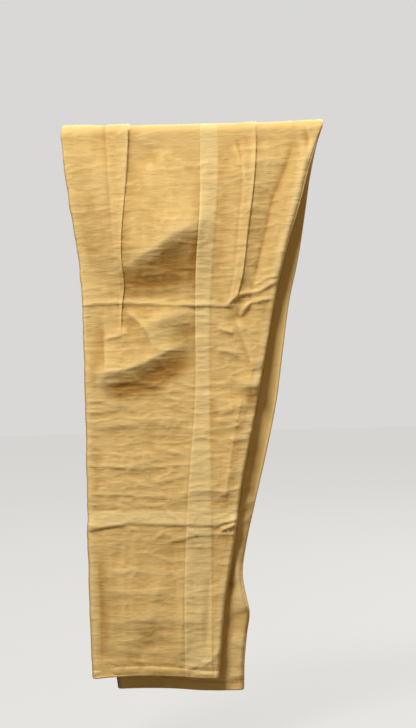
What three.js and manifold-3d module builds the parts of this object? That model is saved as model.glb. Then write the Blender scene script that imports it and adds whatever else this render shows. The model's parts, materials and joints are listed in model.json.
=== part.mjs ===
// Casual pleated cotton trousers, folded leg on leg and hung over a trouser bar.
//
// Millimetres. The origin is the axis of the bar the cloth folds over: +X runs along the
// bar, -Y is the side the legs hang on, +Y is the side the trunk hangs on, +Z is up.
// The garment is folded on its centre line with the front panels outermost, so four layers
// of cloth turn round the bar: left front (innermost), left back, right back, right front.
// The side seams lie on -X, the inseams, the crotch and the centre-front fold on +X.
// Everything in front of the bar belongs to one of the two legs and turns about the bar;
// everything behind it (the trunk, upside down) stays where the bar holds it.

import * as THREE from "three";
import { mergeVertices } from "three/addons/utils/BufferGeometryUtils.js";
import Module from "manifold-3d";

const wasm = await Module();
wasm.setup();

// ---------------------------------------------------------------- cloth and fits
const CLOTH = 0.6;            // one layer of cloth
const GAP = 0.3;              // air between pieces that lie on each other
const SEAM_WALL = 1.2;        // thickness of a seam across the edge of a panel
const SEAM_ALLOWANCE = 12;    // width of the turned-in seam edges
const PANEL_ALLOWANCE = 20;   // width of the pressed allowance of the front panel seam

// ---------------------------------------------------------------- overall sizes
const LEG_LENGTH = 650;       // right leg, bar axis to hem
const REAR_LEG_EXTRA = 18;    // the left leg hangs this much lower
const REAR_LEG_SPLAY = 29;    // and its hem sits this much further along +X
const TRUNK_LENGTH = 213;     // bar axis to the waist edge behind the bar
const WAISTBAND = 35;         // height of the waistband
const HEM = 15;               // height of the turned-up hem
const HEM_FAN = 10.5;         // how far one leg opens at the hem
const WAIST_FAN = 10.5;       // how far one half of the trunk opens at the waist

// ---------------------------------------------------------------- the turn over the bar
const BAR_CLEAR = 6;          // radius of the innermost layer, inside face
const LAYER = 2 * (CLOTH + GAP) + GAP;       // radial pitch of the four layers
// Degrees of the turn covered by a layer of a leg, and by the same layer of the trunk just
// outside it. A leg slides under the trunk's layer as it is lifted, the left leg half as far.
const TURN = {
  right: { leg: [0, 90], trunk: [60, 180] },
  left: { leg: [0, 40], trunk: [30, 180] },
};
const ARC_STEPS = 8;

// ---------------------------------------------------------------- outline of one leg
// [share of the leg length below the bar, side seam, inseam] along X
const LEG_SHAPE = [
  [-0.0246, -160, 166], [0, -159, 160], [0.1535, -149, 125], [0.327, -138, 95],
  [0.5115, -137, 72], [0.6957, -137, 48], [0.86, -137, 28], [1.03, -135, 16],
];
const LEG_ROWS = 13;
const PANEL_SEAM = { top: 8, hem: -25 };     // the seam down the middle of a front panel
const PLEATS = [                             // root, folded edge, reach below the bar
  { name: "pleat_outer", root: -106, edge: -78, lean: -10, drop: 240 },
  { name: "pleat_inner", root: 47, edge: 76, lean: -24, drop: 205 },
];

// ---------------------------------------------------------------- outline of the trunk
const TRUNK_INSET = 2.5;      // side seam of the trunk inside that of the legs
const FRONT_LINE = { top: 153, slope: 0.29 };// centre-front fold: X at the bar, X per Z
const BACK_INSET = { crotch: 6, waist: 44, depth: 45 };  // centre back inside centre front

// ---------------------------------------------------------------- pocket, loops, button
const POCKET = { depth: 98, width: 110, cloth: 0.4, hollow: 0.8 };
const LOOP = { width: 10, cloth: 0.8, room: 2.4, overhang: 4, places: [-70, 24] };
const CLOSING_TAB = { reach: 32, cloth: 1.2 };
const BUTTON = { radius: 8, thick: 2.6, shank: 1.4, inset: 20, rim: 0.8, hole: 0.9 };
const ELASTIC = { thick: 0.8, height: 26, stop: 10 };
const LABEL = { at: -40, width: 30, height: 40, thick: 0.4, lift: 2 };

// ---------------------------------------------------------------- zip in the front fold
const ZIP = {
  length: 112, clear: 2,      // from the waistband, this far clear of it
  pitch: 2.4, tooth: 1.5, spine: 0.7, thick: 1.8, slot: 1.1,
  tape: 0.5, stopLength: 3,
};
const SLIDER = { length: 10, width: 7.6, plate: 0.8, post: 0.6, clear: 7, crown: 1.9 };
const TAB = { length: 19, width: 5, thick: 0.9, eye: 1.5 };

// ---------------------------------------------------------------- colours
const COTTON = { color: 0xd8b06c, roughness: 0.95, metalness: 0 };
const COTTON_DARK = { color: 0xb98a48, roughness: 0.95, metalness: 0 };
const COTTON_PALE = { color: 0xe6ca8e, roughness: 0.95, metalness: 0 };
const LINING = { color: 0xe9e0cb, roughness: 0.9, metalness: 0 };
const RUBBER_WEB = { color: 0xf1eee6, roughness: 0.85, metalness: 0 };
const BRASS = { color: 0xb08d4a, roughness: 0.35, metalness: 1 };
const HORN = { color: 0x5b4127, roughness: 0.4, metalness: 0 };
const TAPE = { color: 0xc39a58, roughness: 0.9, metalness: 0 };

// ---------------------------------------------------------------- solids
const group = new THREE.Group();
group.name = "pleated_trousers";

function toSolid(geometry) {
  geometry.deleteAttribute("normal");
  geometry.deleteAttribute("uv");
  const welded = mergeVertices(geometry, 1e-4);
  return new wasm.Manifold(new wasm.Mesh({
    numProp: 3,
    vertProperties: new Float32Array(welded.attributes.position.array),
    triVerts: new Uint32Array(welded.index.array),
  }));
}

function toGeometry(solid) {
  const mesh = solid.getMesh();
  const geometry = new THREE.BufferGeometry();
  const position = new Float32Array(mesh.vertProperties);
  geometry.setAttribute("position", new THREE.BufferAttribute(position, 3));
  geometry.setIndex(new THREE.BufferAttribute(new Uint32Array(mesh.triVerts), 1));
  geometry.computeVertexNormals();
  return geometry;
}

function add(name, solid, look) {
  const mesh = new THREE.Mesh(toGeometry(solid), new THREE.MeshStandardMaterial(look));
  mesh.name = name;
  group.add(mesh);
}

function extrude(points, depth, u, v, w, shift = new THREE.Vector3()) {
  const shape = new THREE.Shape(points.map(([a, b]) => new THREE.Vector2(a, b)));
  const geometry = new THREE.ExtrudeGeometry(shape, { depth, bevelEnabled: false });
  geometry.applyMatrix4(new THREE.Matrix4().makeBasis(u, v, w).setPosition(shift));
  return toSolid(geometry);
}

const X = new THREE.Vector3(1, 0, 0);
const Y = new THREE.Vector3(0, 1, 0);
const Z = new THREE.Vector3(0, 0, 1);
const REACH = 220;            // half length of the raw bands along the bar
const DEPTH = 60;             // half depth of the raw outlines

// a section across the bar (Y, Z), run along X
const alongBar = (points) =>
  extrude(points, 2 * REACH, Y, Z, X, new THREE.Vector3(-REACH, 0, 0));
// an outline seen from the side the legs hang on (X, Z), run along Y
const throughDepth = (points) =>
  extrude(points, 2 * DEPTH, X, Z, Y.clone().negate(), new THREE.Vector3(0, DEPTH, 0));

const lerp = (a, b, t) => a + (b - a) * t;
const radians = (degrees) => degrees * Math.PI / 180;

// ---------------------------------------------------------------- layers of cloth
// A surface is a radius round the bar that runs on straight down, reaching `tip` at the end.
const face = (r, tip) => ({ r, tip });
const offset = (s, d) => face(s.r + d, s.tip + d);
const LEG = { name: "leg", sign: -1, length: LEG_LENGTH };
const TRUNK = { name: "trunk", sign: 1, length: TRUNK_LENGTH };

function layerFaces(place, firstRadius, fan) {
  const spread = [0, fan - LAYER + 0, fan - LAYER, 2 * (fan - LAYER)];
  return spread.map((s, i) => {
    const r = firstRadius + i * LAYER;
    return face(r, r + s);
  });
}
const [LEG_LF, LEG_LB, LEG_RB, LEG_RF] = layerFaces(LEG, BAR_CLEAR, HEM_FAN);
const [TRUNK_LF, TRUNK_LB, TRUNK_RB, TRUNK_RF] =
  layerFaces(TRUNK, BAR_CLEAR + CLOTH + GAP, WAIST_FAN);

function band(place, inner, outer, turn = TURN.right) {
  const { name, sign, length } = place;
  const arc = turn[name];
  const line = (s) => {
    const points = [];
    for (let i = 0; i <= ARC_STEPS; i++) {
      const a = radians(lerp(arc[0], arc[1], i / ARC_STEPS));
      points.push([-s.r * Math.cos(a), s.r * Math.sin(a)]);
    }
    const over = 1.2;         // the band runs past the end and is trimmed by the outline
    const end = [sign * lerp(s.r, s.tip, over), -length * over];
    return sign < 0 ? [end, ...points] : [...points, end];
  };
  return alongBar([...line(outer), ...line(inner).reverse()]);
}

// only the straight run, between two heights, where the layers have fanned apart
function straight(place, inner, outer, zTop, zBottom) {
  const at = (s, z) => [place.sign * lerp(s.r, s.tip, -z / place.length), z];
  return alongBar([at(outer, zTop), at(inner, zTop), at(inner, zBottom), at(outer, zBottom)]);
}

// the two halves of the garment: which face of the front layer looks into the leg
const RIGHT = {
  name: "right", splay: 0, length: LEG_LENGTH, inward: -1,
  leg: { front: LEG_RF, back: LEG_RB }, trunk: { front: TRUNK_RF, back: TRUNK_RB },
};
const LEFT = {
  name: "left", splay: REAR_LEG_SPLAY, length: LEG_LENGTH + REAR_LEG_EXTRA, inward: 1,
  leg: { front: LEG_LF, back: LEG_LB }, trunk: { front: TRUNK_LF, back: TRUNK_LB },
};
const SIDES = [RIGHT, LEFT];

const cloth = (side, place, s) => band(place, s, offset(s, CLOTH), TURN[side.name]);
// cloth lying inside the front layer, from `a` to `b` away from it
function inside(side, place, a, b) {
  const f = side[place.name].front;
  return side.inward < 0
    ? band(place, offset(f, -b), offset(f, -a))
    : band(place, offset(f, CLOTH + a), offset(f, CLOTH + b));
}
const outside = (side, place, a, b) => inside(side, place, -CLOTH - b, -CLOTH - a);
// everything between the front and the back layer, `g` away from both
function hollow(side, place, g, solid = band, ...heights) {
  const { front, back } = side[place.name];
  const [inner, outer] = side.inward < 0 ? [back, front] : [front, back];
  return solid(place, offset(inner, CLOTH + g), offset(outer, -g), ...heights);
}

// ---------------------------------------------------------------- edges in the outline
function legColumn(drop, column) {
  const rows = LEG_SHAPE.map(([share, ...xs]) => [share * LEG_LENGTH, ...xs]);
  let i = 0;
  while (i < rows.length - 2 && drop > rows[i + 1][0]) i++;
  const slope = (k) => {
    const a = rows[Math.max(k - 1, 0)];
    const b = rows[Math.min(k + 1, rows.length - 1)];
    return (b[column] - a[column]) / (b[0] - a[0]);
  };
  const [a, b] = [rows[i], rows[i + 1]];
  const span = b[0] - a[0];
  const t = (drop - a[0]) / span;
  const h = t * t * (3 - 2 * t);
  return lerp(a[column], b[column], h)
    + t * (1 - t) * span * ((1 - t) * slope(i) - t * slope(i + 1));
}
const splay = (side, z) => side.splay * Math.max(0, -z) / LEG_LENGTH;
const legOuter = (side, z) => legColumn(-z, 1) + splay(side, z);
const legInner = (side, z) => legColumn(-z, 2) + splay(side, z);
const panelSeam = (side, z) =>
  lerp(PANEL_SEAM.top, PANEL_SEAM.hem, Math.max(0, -z) / LEG_LENGTH) + splay(side, z);
const trunkOuter = (z) => legColumn(-z, 1) + TRUNK_INSET;
const frontLine = (z) => FRONT_LINE.top + FRONT_LINE.slope * z;
const trunkSeam = () => PANEL_SEAM.top;
const backLine = (z) => frontLine(z)
  - lerp(BACK_INSET.crotch, BACK_INSET.waist, Math.min(1, Math.max(0, -z / BACK_INSET.depth)));

// a column of the outline between two edges, from zTop down to zBottom
function column(left, right, zTop, zBottom, rows) {
  const points = [];
  for (let i = 0; i <= rows; i++) {
    const z = lerp(zBottom, zTop, i / rows);
    points.push([right(z), z]);
  }
  for (let i = rows; i >= 0; i--) {
    const z = lerp(zBottom, zTop, i / rows);
    points.push([left(z), z]);
  }
  return throughDepth(points);
}
const cut = (a, b) => a.intersect(b);
const TOP = 16;               // above every turn over the bar
const SKIRT = -4;             // seams start this far below the bar axis

// ---------------------------------------------------------------- the two legs
for (const side of SIDES) {
  const n = side.name;
  const hemZ = -side.length;
  const outer = (z) => legOuter(side, z);
  const inner = (z) => legInner(side, z);
  const seam = (z) => panelSeam(side, z);
  const half = GAP / 2;

  const front = cloth(side, LEG, side.leg.front);
  add(`${n}_leg_front_outer`,
    cut(front, column(outer, (z) => seam(z) - half, TOP, hemZ, LEG_ROWS)), COTTON);
  add(`${n}_leg_front_inner`,
    cut(front, column((z) => seam(z) + half, inner, TOP, hemZ, LEG_ROWS)), COTTON);
  add(`${n}_leg_back`,
    cut(cloth(side, LEG, side.leg.back), column(outer, inner, TOP, hemZ, LEG_ROWS)), COTTON);

  // seams: a thin wall across the edge and an allowance turned in under the front panel
  const between = hollow(side, LEG, GAP);
  const turned = inside(side, LEG, GAP, GAP + CLOTH);
  const seamEnd = hemZ + HEM + 2 * GAP;
  const wallRows = LEG_ROWS - 2;
  const outWall = column(outer, (z) => outer(z) + SEAM_WALL, SKIRT, seamEnd, wallRows);
  const outFlap = column(outer, (z) => outer(z) + SEAM_ALLOWANCE, SKIRT, seamEnd, wallRows);
  add(`${n}_leg_outseam`, cut(between, outWall).add(cut(turned, outFlap)), COTTON_DARK);
  const inWall = column((z) => inner(z) - SEAM_WALL, inner, SKIRT, seamEnd, wallRows);
  const inFlap = column((z) => inner(z) - SEAM_ALLOWANCE, inner, SKIRT, seamEnd, wallRows);
  add(`${n}_inseam`, cut(between, inWall).add(cut(turned, inFlap)), COTTON_DARK);
  add(`${n}_leg_panel_seam`,
    cut(turned, column((z) => seam(z) - 2, (z) => seam(z) + PANEL_ALLOWANCE,
      SKIRT, seamEnd, 4)), COTTON_DARK);

  // hem: a ring of cloth turned up inside the end of the leg
  const ring = cut(between, column(outer, inner, hemZ + HEM, hemZ + GAP, 1));
  const bore = cut(hollow(side, LEG, GAP + CLOTH, straight, hemZ + HEM + 2, hemZ - 2),
    column((z) => outer(z) + SEAM_WALL, (z) => inner(z) - SEAM_WALL,
      hemZ + HEM + 1, hemZ - 1, 1));
  add(`${n}_hem`, ring.subtract(bore), COTTON_PALE);

  // knife pleats: a tapering strip of cloth folded over the front panel
  for (const p of PLEATS) {
    const tipZ = -p.drop;
    const edge = (z) => p.edge + p.lean * (z / tipZ) + splay(side, z);
    const root = (z) => lerp(p.root + splay(side, z), edge(z) - 3, z / tipZ);
    add(`${n}_leg_${p.name}`,
      cut(outside(side, LEG, GAP, GAP + CLOTH), column(root, edge, SKIRT, tipZ, 3)),
      COTTON_PALE);
  }
}

// ---------------------------------------------------------------- the trunk
const waistEnd = -TRUNK_LENGTH;
const bandTop = waistEnd + WAISTBAND;        // where the panels meet the waistband
const panelEnd = bandTop + GAP;
const labelTop = waistEnd + LABEL.lift + LABEL.height;
const pocketEnd = labelTop + 3 * GAP;        // the pocket stays above the care label
const zipTop = -bandTop - ZIP.clear;         // the zip's ends, measured down from the bar
const zipBottom = zipTop - ZIP.length;
const sliderRest = zipTop - SLIDER.clear;
for (const side of SIDES) {
  const n = side.name;
  const half = GAP / 2;
  const front = cloth(side, TRUNK, side.trunk.front);
  add(`${n}_hip_front_outer`,
    cut(front, column(trunkOuter, () => trunkSeam() - half, TOP, panelEnd, 6)), COTTON);
  add(`${n}_hip_front_inner`,
    cut(front, column(() => trunkSeam() + half, frontLine, TOP, panelEnd, 2)), COTTON);
  add(`${n}_hip_back`,
    cut(cloth(side, TRUNK, side.trunk.back), column(trunkOuter, backLine, TOP, panelEnd, 10)),
    COTTON);

  const between = hollow(side, TRUNK, GAP);
  const turned = inside(side, TRUNK, GAP, GAP + CLOTH);
  const wall = column(trunkOuter, (z) => trunkOuter(z) + SEAM_WALL, SKIRT, panelEnd, 6);
  const flap = column(trunkOuter, (z) => trunkOuter(z) + SEAM_ALLOWANCE, SKIRT, panelEnd, 6);
  add(`${n}_hip_outseam`, cut(between, wall).add(cut(turned, flap)), COTTON_DARK);
  add(`${n}_hip_panel_seam`,
    cut(turned, column(() => trunkSeam() - 2, () => trunkSeam() + PANEL_ALLOWANCE,
      SKIRT, panelEnd, 1)), COTTON_DARK);
  for (const p of PLEATS) {
    add(`${n}_hip_${p.name}`,
      cut(outside(side, TRUNK, GAP, GAP + CLOTH), column(() => p.root, () => p.edge,
        SKIRT, panelEnd, 1)), COTTON_PALE);
  }

  // pocket bag: flat, lying under the side seam allowance, open along the side seam
  const bagIn = GAP + CLOTH + GAP;
  const bagOut = bagIn + 2 * POCKET.cloth + POCKET.hollow;
  const mouth = (z) => trunkOuter(z) + SEAM_WALL + GAP;
  const bagEnd = () => trunkOuter(bandTop) + POCKET.width;
  const bag = cut(inside(side, TRUNK, bagIn, bagOut),
    column(mouth, bagEnd, pocketEnd + POCKET.depth, pocketEnd, 3));
  const room = cut(inside(side, TRUNK, bagIn + POCKET.cloth, bagOut - POCKET.cloth),
    column((z) => mouth(z) - 1, () => bagEnd() - SEAM_WALL,
      pocketEnd + POCKET.depth - SEAM_WALL, pocketEnd + SEAM_WALL, 3));
  add(`${n}_pocket_bag`, bag.subtract(room), LINING);
}

// centre front below the zip, and centre back between the two back panels
const trunkSpan = (a, b, g) => band(TRUNK, offset(a, CLOTH + g), offset(b, -g));
const frontSpan = trunkSpan(TRUNK_LF, TRUNK_RF, GAP);
const riseEnd = -zipBottom + ZIP.clear;
const riseWall = column((z) => frontLine(z) - SEAM_WALL, frontLine, SKIRT, riseEnd, 1);
const riseFlap = column((z) => frontLine(z) - SEAM_ALLOWANCE / 3, frontLine,
  SKIRT, riseEnd, 1);
add("front_rise_seam", cut(frontSpan, riseWall)
  .add(cut(inside(RIGHT, TRUNK, GAP, GAP + CLOTH), riseFlap))
  .add(cut(inside(LEFT, TRUNK, GAP, GAP + CLOTH), riseFlap)), COTTON_DARK);
add("back_rise_seam", cut(trunkSpan(TRUNK_LB, TRUNK_RB, GAP),
  column((z) => backLine(z) - SEAM_ALLOWANCE, backLine, SKIRT, panelEnd, 8)), COTTON_DARK);

// ---------------------------------------------------------------- waistband
const BAND_SKIN = CLOTH;      // the waistband is this much proud of the panel on each side
const proud = (s, a = BAND_SKIN, b = BAND_SKIN) =>
  band(TRUNK, offset(s, -a), offset(s, CLOTH + b));
const bandColumn = (left, right) => column(left, right, bandTop, waistEnd, 2);
const tabX = (z) => frontLine(z) - CLOSING_TAB.reach;
const buttonZ = (bandTop + waistEnd) / 2;
const buttonX = frontLine(buttonZ) - BUTTON.inset;
const shankTool = (radius) => {
  const geometry = new THREE.CylinderGeometry(radius, radius, 40, 20);
  geometry.translate(buttonX, 20, buttonZ);
  return toSolid(geometry);
};
const nearButton = (s, a, b) => band(TRUNK, offset(s, a), offset(s, b));

add("right_waistband_front", cut(proud(TRUNK_RF), bandColumn(trunkOuter, frontLine)),
  COTTON);
// the left front waistband turns round the centre-front fold and closes on the right one
const tabIn = CLOTH + BAND_SKIN + GAP;
const tabOut = tabIn + CLOSING_TAB.cloth;
const tabEdge = (z) => frontLine(z) + GAP + CLOSING_TAB.cloth;
const leftBand = cut(proud(TRUNK_LF), bandColumn(trunkOuter, tabEdge));
const tabWall = cut(band(TRUNK, offset(TRUNK_LF, 0), offset(TRUNK_RF, tabOut)),
  bandColumn((z) => frontLine(z) + GAP, tabEdge));
const tabPlate = cut(nearButton(TRUNK_RF, tabIn, tabOut), bandColumn(tabX, tabEdge));
add("left_waistband_front",
  leftBand.add(tabWall).add(tabPlate).subtract(shankTool(BUTTON.shank + GAP + 0.2)),
  COTTON);

// the back waistband is one piece round the centre-back fold, with a channel for elastic
const thickBack = 1.2;
const backBand = cut(band(TRUNK, offset(TRUNK_LB, -thickBack), offset(TRUNK_RB,
  CLOTH + thickBack)), bandColumn(trunkOuter, backLine));
const elasticRows = (from, to) => [
  (z) => trunkOuter(z) + from, (z) => backLine(z) - to,
  (bandTop + waistEnd + ELASTIC.height) / 2, (bandTop + waistEnd - ELASTIC.height) / 2, 2];
const elasticAt = [[TRUNK_LB, -0.3], [TRUNK_RB, CLOTH + 0.3 - ELASTIC.thick]];
const splitZ = column((z) => trunkOuter(z) - 1, (z) => backLine(z) - ELASTIC.stop,
  bandTop + 1, waistEnd - 1, 2);
const split = cut(band(TRUNK, offset(TRUNK_LB, CLOTH + BAND_SKIN / 2 + 0.1),
  offset(TRUNK_RB, -BAND_SKIN / 2 - 0.1)), splitZ);
let channels = split;
elasticAt.forEach(([s, d]) => {
  const [l, r, top, bottom, rows] = elasticRows(-1, ELASTIC.stop - GAP);
  channels = channels.add(cut(nearButton(s, d - GAP, d + ELASTIC.thick + GAP),
    column(l, r, top + GAP, bottom - GAP, rows)));
});
add("waistband_back", backBand.subtract(channels), COTTON);
elasticAt.forEach(([s, d], i) => {
  add(`${i ? "right" : "left"}_waist_elastic`,
    cut(nearButton(s, d, d + ELASTIC.thick), column(...elasticRows(0.5, ELASTIC.stop))),
    RUBBER_WEB);
});

// ---------------------------------------------------------------- belt loops
for (const side of SIDES) {
  LOOP.places.forEach((x, i) => {
    const a = BAND_SKIN + GAP;
    const b = a + LOOP.cloth;
    const top = bandTop + LOOP.overhang + LOOP.cloth;
    const rowsAt = (z0, z1) => column(() => x, () => x + LOOP.width, z0, z1, 1);
    // below the waistband the strap reaches back to the panel through the height of the pleats
    const strap = cut(outside(side, TRUNK, a + LOOP.room, b + LOOP.room),
      rowsAt(top, waistEnd + 2));
    const foot = cut(outside(side, TRUNK, a, b + LOOP.room),
      rowsAt(waistEnd + 2 + LOOP.cloth, waistEnd + 2));
    const head = cut(outside(side, TRUNK, GAP, b + LOOP.room), rowsAt(top, top - LOOP.cloth));
    add(`${side.name}_belt_loop_${i ? "front" : "side"}`, strap.add(foot).add(head), COTTON);
  });
}

// ---------------------------------------------------------------- button
const tilt = Math.atan2(TRUNK_RF.tip - TRUNK_RF.r, TRUNK_LENGTH);
const outerFaceAt = (z, d) => lerp(TRUNK_RF.r, TRUNK_RF.tip, -z / TRUNK_LENGTH) + d;
const buttonProfile = [
  [0, -0.05], [BUTTON.shank, -0.05], [BUTTON.shank, CLOSING_TAB.cloth + 2 * GAP],
  [BUTTON.radius - 1, CLOSING_TAB.cloth + 2 * GAP],
  [BUTTON.radius, CLOSING_TAB.cloth + 2 * GAP + 0.8],
  [BUTTON.radius, CLOSING_TAB.cloth + 2 * GAP + BUTTON.thick],
  [BUTTON.radius - 1.6, CLOSING_TAB.cloth + 2 * GAP + BUTTON.thick],
  [BUTTON.radius - 2.2, CLOSING_TAB.cloth + 2 * GAP + BUTTON.thick - BUTTON.rim],
  [0, CLOSING_TAB.cloth + 2 * GAP + BUTTON.thick - BUTTON.rim],
].map(([r, h]) => new THREE.Vector2(r, h));
const buttonBody = new THREE.LatheGeometry(buttonProfile, 28);
const buttonTop = CLOSING_TAB.cloth + 2 * GAP + BUTTON.thick;
let button = toSolid(buttonBody);
for (const [u, v] of [[1, 1], [1, -1], [-1, 1], [-1, -1]]) {
  const hole = new THREE.CylinderGeometry(BUTTON.hole, BUTTON.hole, 1.6, 10);
  hole.translate(u * 1.9, buttonTop - BUTTON.rim, v * 1.9);
  button = button.subtract(toSolid(hole));
}
button = button.rotate([tilt * 180 / Math.PI, 0, 0]).translate(
  [buttonX, outerFaceAt(buttonZ, CLOTH + BAND_SKIN + GAP), buttonZ]);
add("waist_button", button, HORN);

// ---------------------------------------------------------------- blank care label
add("care_label", cut(inside(RIGHT, TRUNK, BAND_SKIN + GAP, BAND_SKIN + GAP + LABEL.thick),
  column(() => LABEL.at, () => LABEL.at + LABEL.width, labelTop, waistEnd + LABEL.lift, 1)),
  RUBBER_WEB);

// ---------------------------------------------------------------- zip
// The zip closes the centre-front fold edge-on: it faces +X, half way between the two
// front panels, and runs up the fold from the waistband to the crotch.
const midY = (z) => (lerp(TRUNK_LF.r, TRUNK_LF.tip, -z / TRUNK_LENGTH) + CLOTH
  + lerp(TRUNK_RF.r, TRUNK_RF.tip, -z / TRUNK_LENGTH)) / 2;
const zipPoint = (drop) =>
  new THREE.Vector3(frontLine(-drop) - ZIP.thick / 2 - 0.3, midY(-drop), -drop);
const up = zipPoint(zipBottom).sub(zipPoint(zipTop)).normalize();
const across = new THREE.Vector3().crossVectors(up, X).normalize();
const out = new THREE.Vector3().crossVectors(across, up).normalize();
// local frame of the zip: a = across (towards the right front), b = up the fold, c = outward
const zipAt = (drop, a = 0, b = 0, c = 0) => zipPoint(drop)
  .addScaledVector(across, a).addScaledVector(up, b).addScaledVector(out, c);
const zipBox = (drop, [a0, a1], [b0, b1], [c0, c1]) => extrude(
  [[a0, b0], [a1, b0], [a1, b1], [a0, b1]], c1 - c0, across, up, out,
  zipAt(drop, 0, 0, c0));

const zipLength = zipPoint(zipBottom).distanceTo(zipPoint(zipTop));
const rowLength = zipLength - 2 * ZIP.stopLength - 2 * GAP;
for (const hand of [1, -1]) {
  const name = hand > 0 ? "right" : "left";
  // a row of teeth: a spine with teeth pointing at the other row
  const teeth = Math.floor(rowLength / ZIP.pitch);
  const tip = ZIP.slot / 2;
  const root = tip + ZIP.tooth;
  const start = ZIP.stopLength + GAP;
  const rowEnd = teeth * ZIP.pitch;
  const outline = [[root, 0]];
  for (let i = 0; i < teeth; i++) {
    const b = i * ZIP.pitch + (hand > 0 ? 0.1 : 0.6);
    outline.push([root, b], [tip, b + 0.25], [tip, b + 1.05], [root, b + 1.3]);
  }
  outline.push([root, rowEnd], [root + ZIP.spine, rowEnd], [root + ZIP.spine, 0]);
  add(`zip_teeth_${name}`, extrude(outline.map(([a, b]) => [hand * a, b]), ZIP.thick,
    across, up, out, zipAt(zipTop, 0, start, -ZIP.thick / 2)), BRASS);
}
// stops bridge both rows at the two ends
const stopHalf = ZIP.slot / 2 + ZIP.tooth + ZIP.spine;
add("zip_top_stop", zipBox(zipTop, [-stopHalf, stopHalf], [0, ZIP.stopLength],
  [-ZIP.thick / 2, ZIP.thick / 2]), BRASS);
add("zip_bottom_stop", zipBox(zipBottom, [-stopHalf, stopHalf], [-ZIP.stopLength, 0],
  [-ZIP.thick / 2, ZIP.thick / 2]), BRASS);
// tapes: from beside the teeth to the inside of each front panel, turned in along it
for (const side of SIDES) {
  const hand = side.inward < 0 ? 1 : -1;
  const near = stopHalf + GAP;
  const reach = 40;
  const slab = extrude([[hand * near, 0], [hand * reach, 0], [hand * reach, zipLength],
    [hand * near, zipLength]], ZIP.tape, across, up, out, zipAt(zipTop, 0, 0, -ZIP.tape / 2));
  const web = cut(slab, frontSpan);
  const flange = cut(inside(side, TRUNK, GAP, GAP + ZIP.tape),
    column((z) => frontLine(z) - SEAM_ALLOWANCE, (z) => frontLine(z) - ZIP.thick / 2,
      -zipBottom, -zipTop, 1));
  add(`zip_tape_${side.name}`, web.add(flange), TAPE);
}
// slider: two plates joined by a post that runs in the slot between the rows
const slideHalf = SLIDER.length / 2;
const plateIn = ZIP.thick / 2 + GAP;
const plateOut = plateIn + SLIDER.plate;
const plateShape = (c0, c1) => extrude([
  [-SLIDER.width / 2, -slideHalf], [SLIDER.width / 2, -slideHalf],
  [SLIDER.width / 2, slideHalf - 3], [SLIDER.width / 2 - 1.6, slideHalf],
  [-SLIDER.width / 2 + 1.6, slideHalf], [-SLIDER.width / 2, slideHalf - 3],
], c1 - c0, across, up, out, zipAt(sliderRest, 0, 0, c0));
const crownHole = new THREE.Vector2(0, plateOut + SLIDER.crown / 2);
const crownShape = new THREE.Shape([[-3.4, plateOut - 0.2], [3.4, plateOut - 0.2],
  [3.4, plateOut + 0.9], [2, plateOut + SLIDER.crown + 0.9],
  [-2, plateOut + SLIDER.crown + 0.9], [-3.4, plateOut + 0.9]]
  .map(([b, c]) => new THREE.Vector2(b, c)));
crownShape.holes.push(new THREE.Path().absarc(0, crownHole.y, TAB.thick / 2 + 0.45, 0,
  2 * Math.PI, true));
const crownGeometry = new THREE.ExtrudeGeometry(crownShape,
  { depth: 1.2, bevelEnabled: false, curveSegments: 8 });
crownGeometry.applyMatrix4(new THREE.Matrix4().makeBasis(up, out, across)
  .setPosition(zipAt(sliderRest, -0.6, 0, 0)));
add("zip_slider", plateShape(plateIn, plateOut).add(plateShape(-plateOut, -plateIn))
  .add(zipBox(sliderRest, [-SLIDER.post / 2, SLIDER.post / 2], [-1, 3.4],
    [-plateIn - 0.1, plateIn + 0.1]))
  .add(toSolid(crownGeometry)), BRASS);

// pull tab: hangs plumb from the crown; its eye goes round the crown bar
const pivot = zipAt(sliderRest, 0, 0, crownHole.y);
const pin = TAB.thick / 2;
const tabOutline = new THREE.Shape([[-TAB.width / 2, pin], [-TAB.width / 2, -TAB.length],
  [TAB.width / 2, -TAB.length], [TAB.width / 2, pin]]
  .map(([a, b]) => new THREE.Vector2(a, b)));
tabOutline.holes.push(new THREE.Path([[-TAB.eye, -pin], [TAB.eye, -pin],
  [TAB.eye, -4.6], [-TAB.eye, -4.6]].map(([a, b]) => new THREE.Vector2(a, b))));
const tabGeometry = new THREE.ExtrudeGeometry(tabOutline,
  { depth: TAB.thick, bevelEnabled: false });
tabGeometry.applyMatrix4(new THREE.Matrix4().makeBasis(Y, Z, X)
  .setPosition(pivot.x - pin, pivot.y, pivot.z));
add("zip_pull_tab", toSolid(tabGeometry), BRASS);

export default group;
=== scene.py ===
import json
import math

import bmesh
import bpy
import numpy as np
from bpy.props import FloatProperty, FloatVectorProperty, PointerProperty
from mathutils import Matrix, Vector
from mathutils.bvhtree import BVHTree

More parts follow.
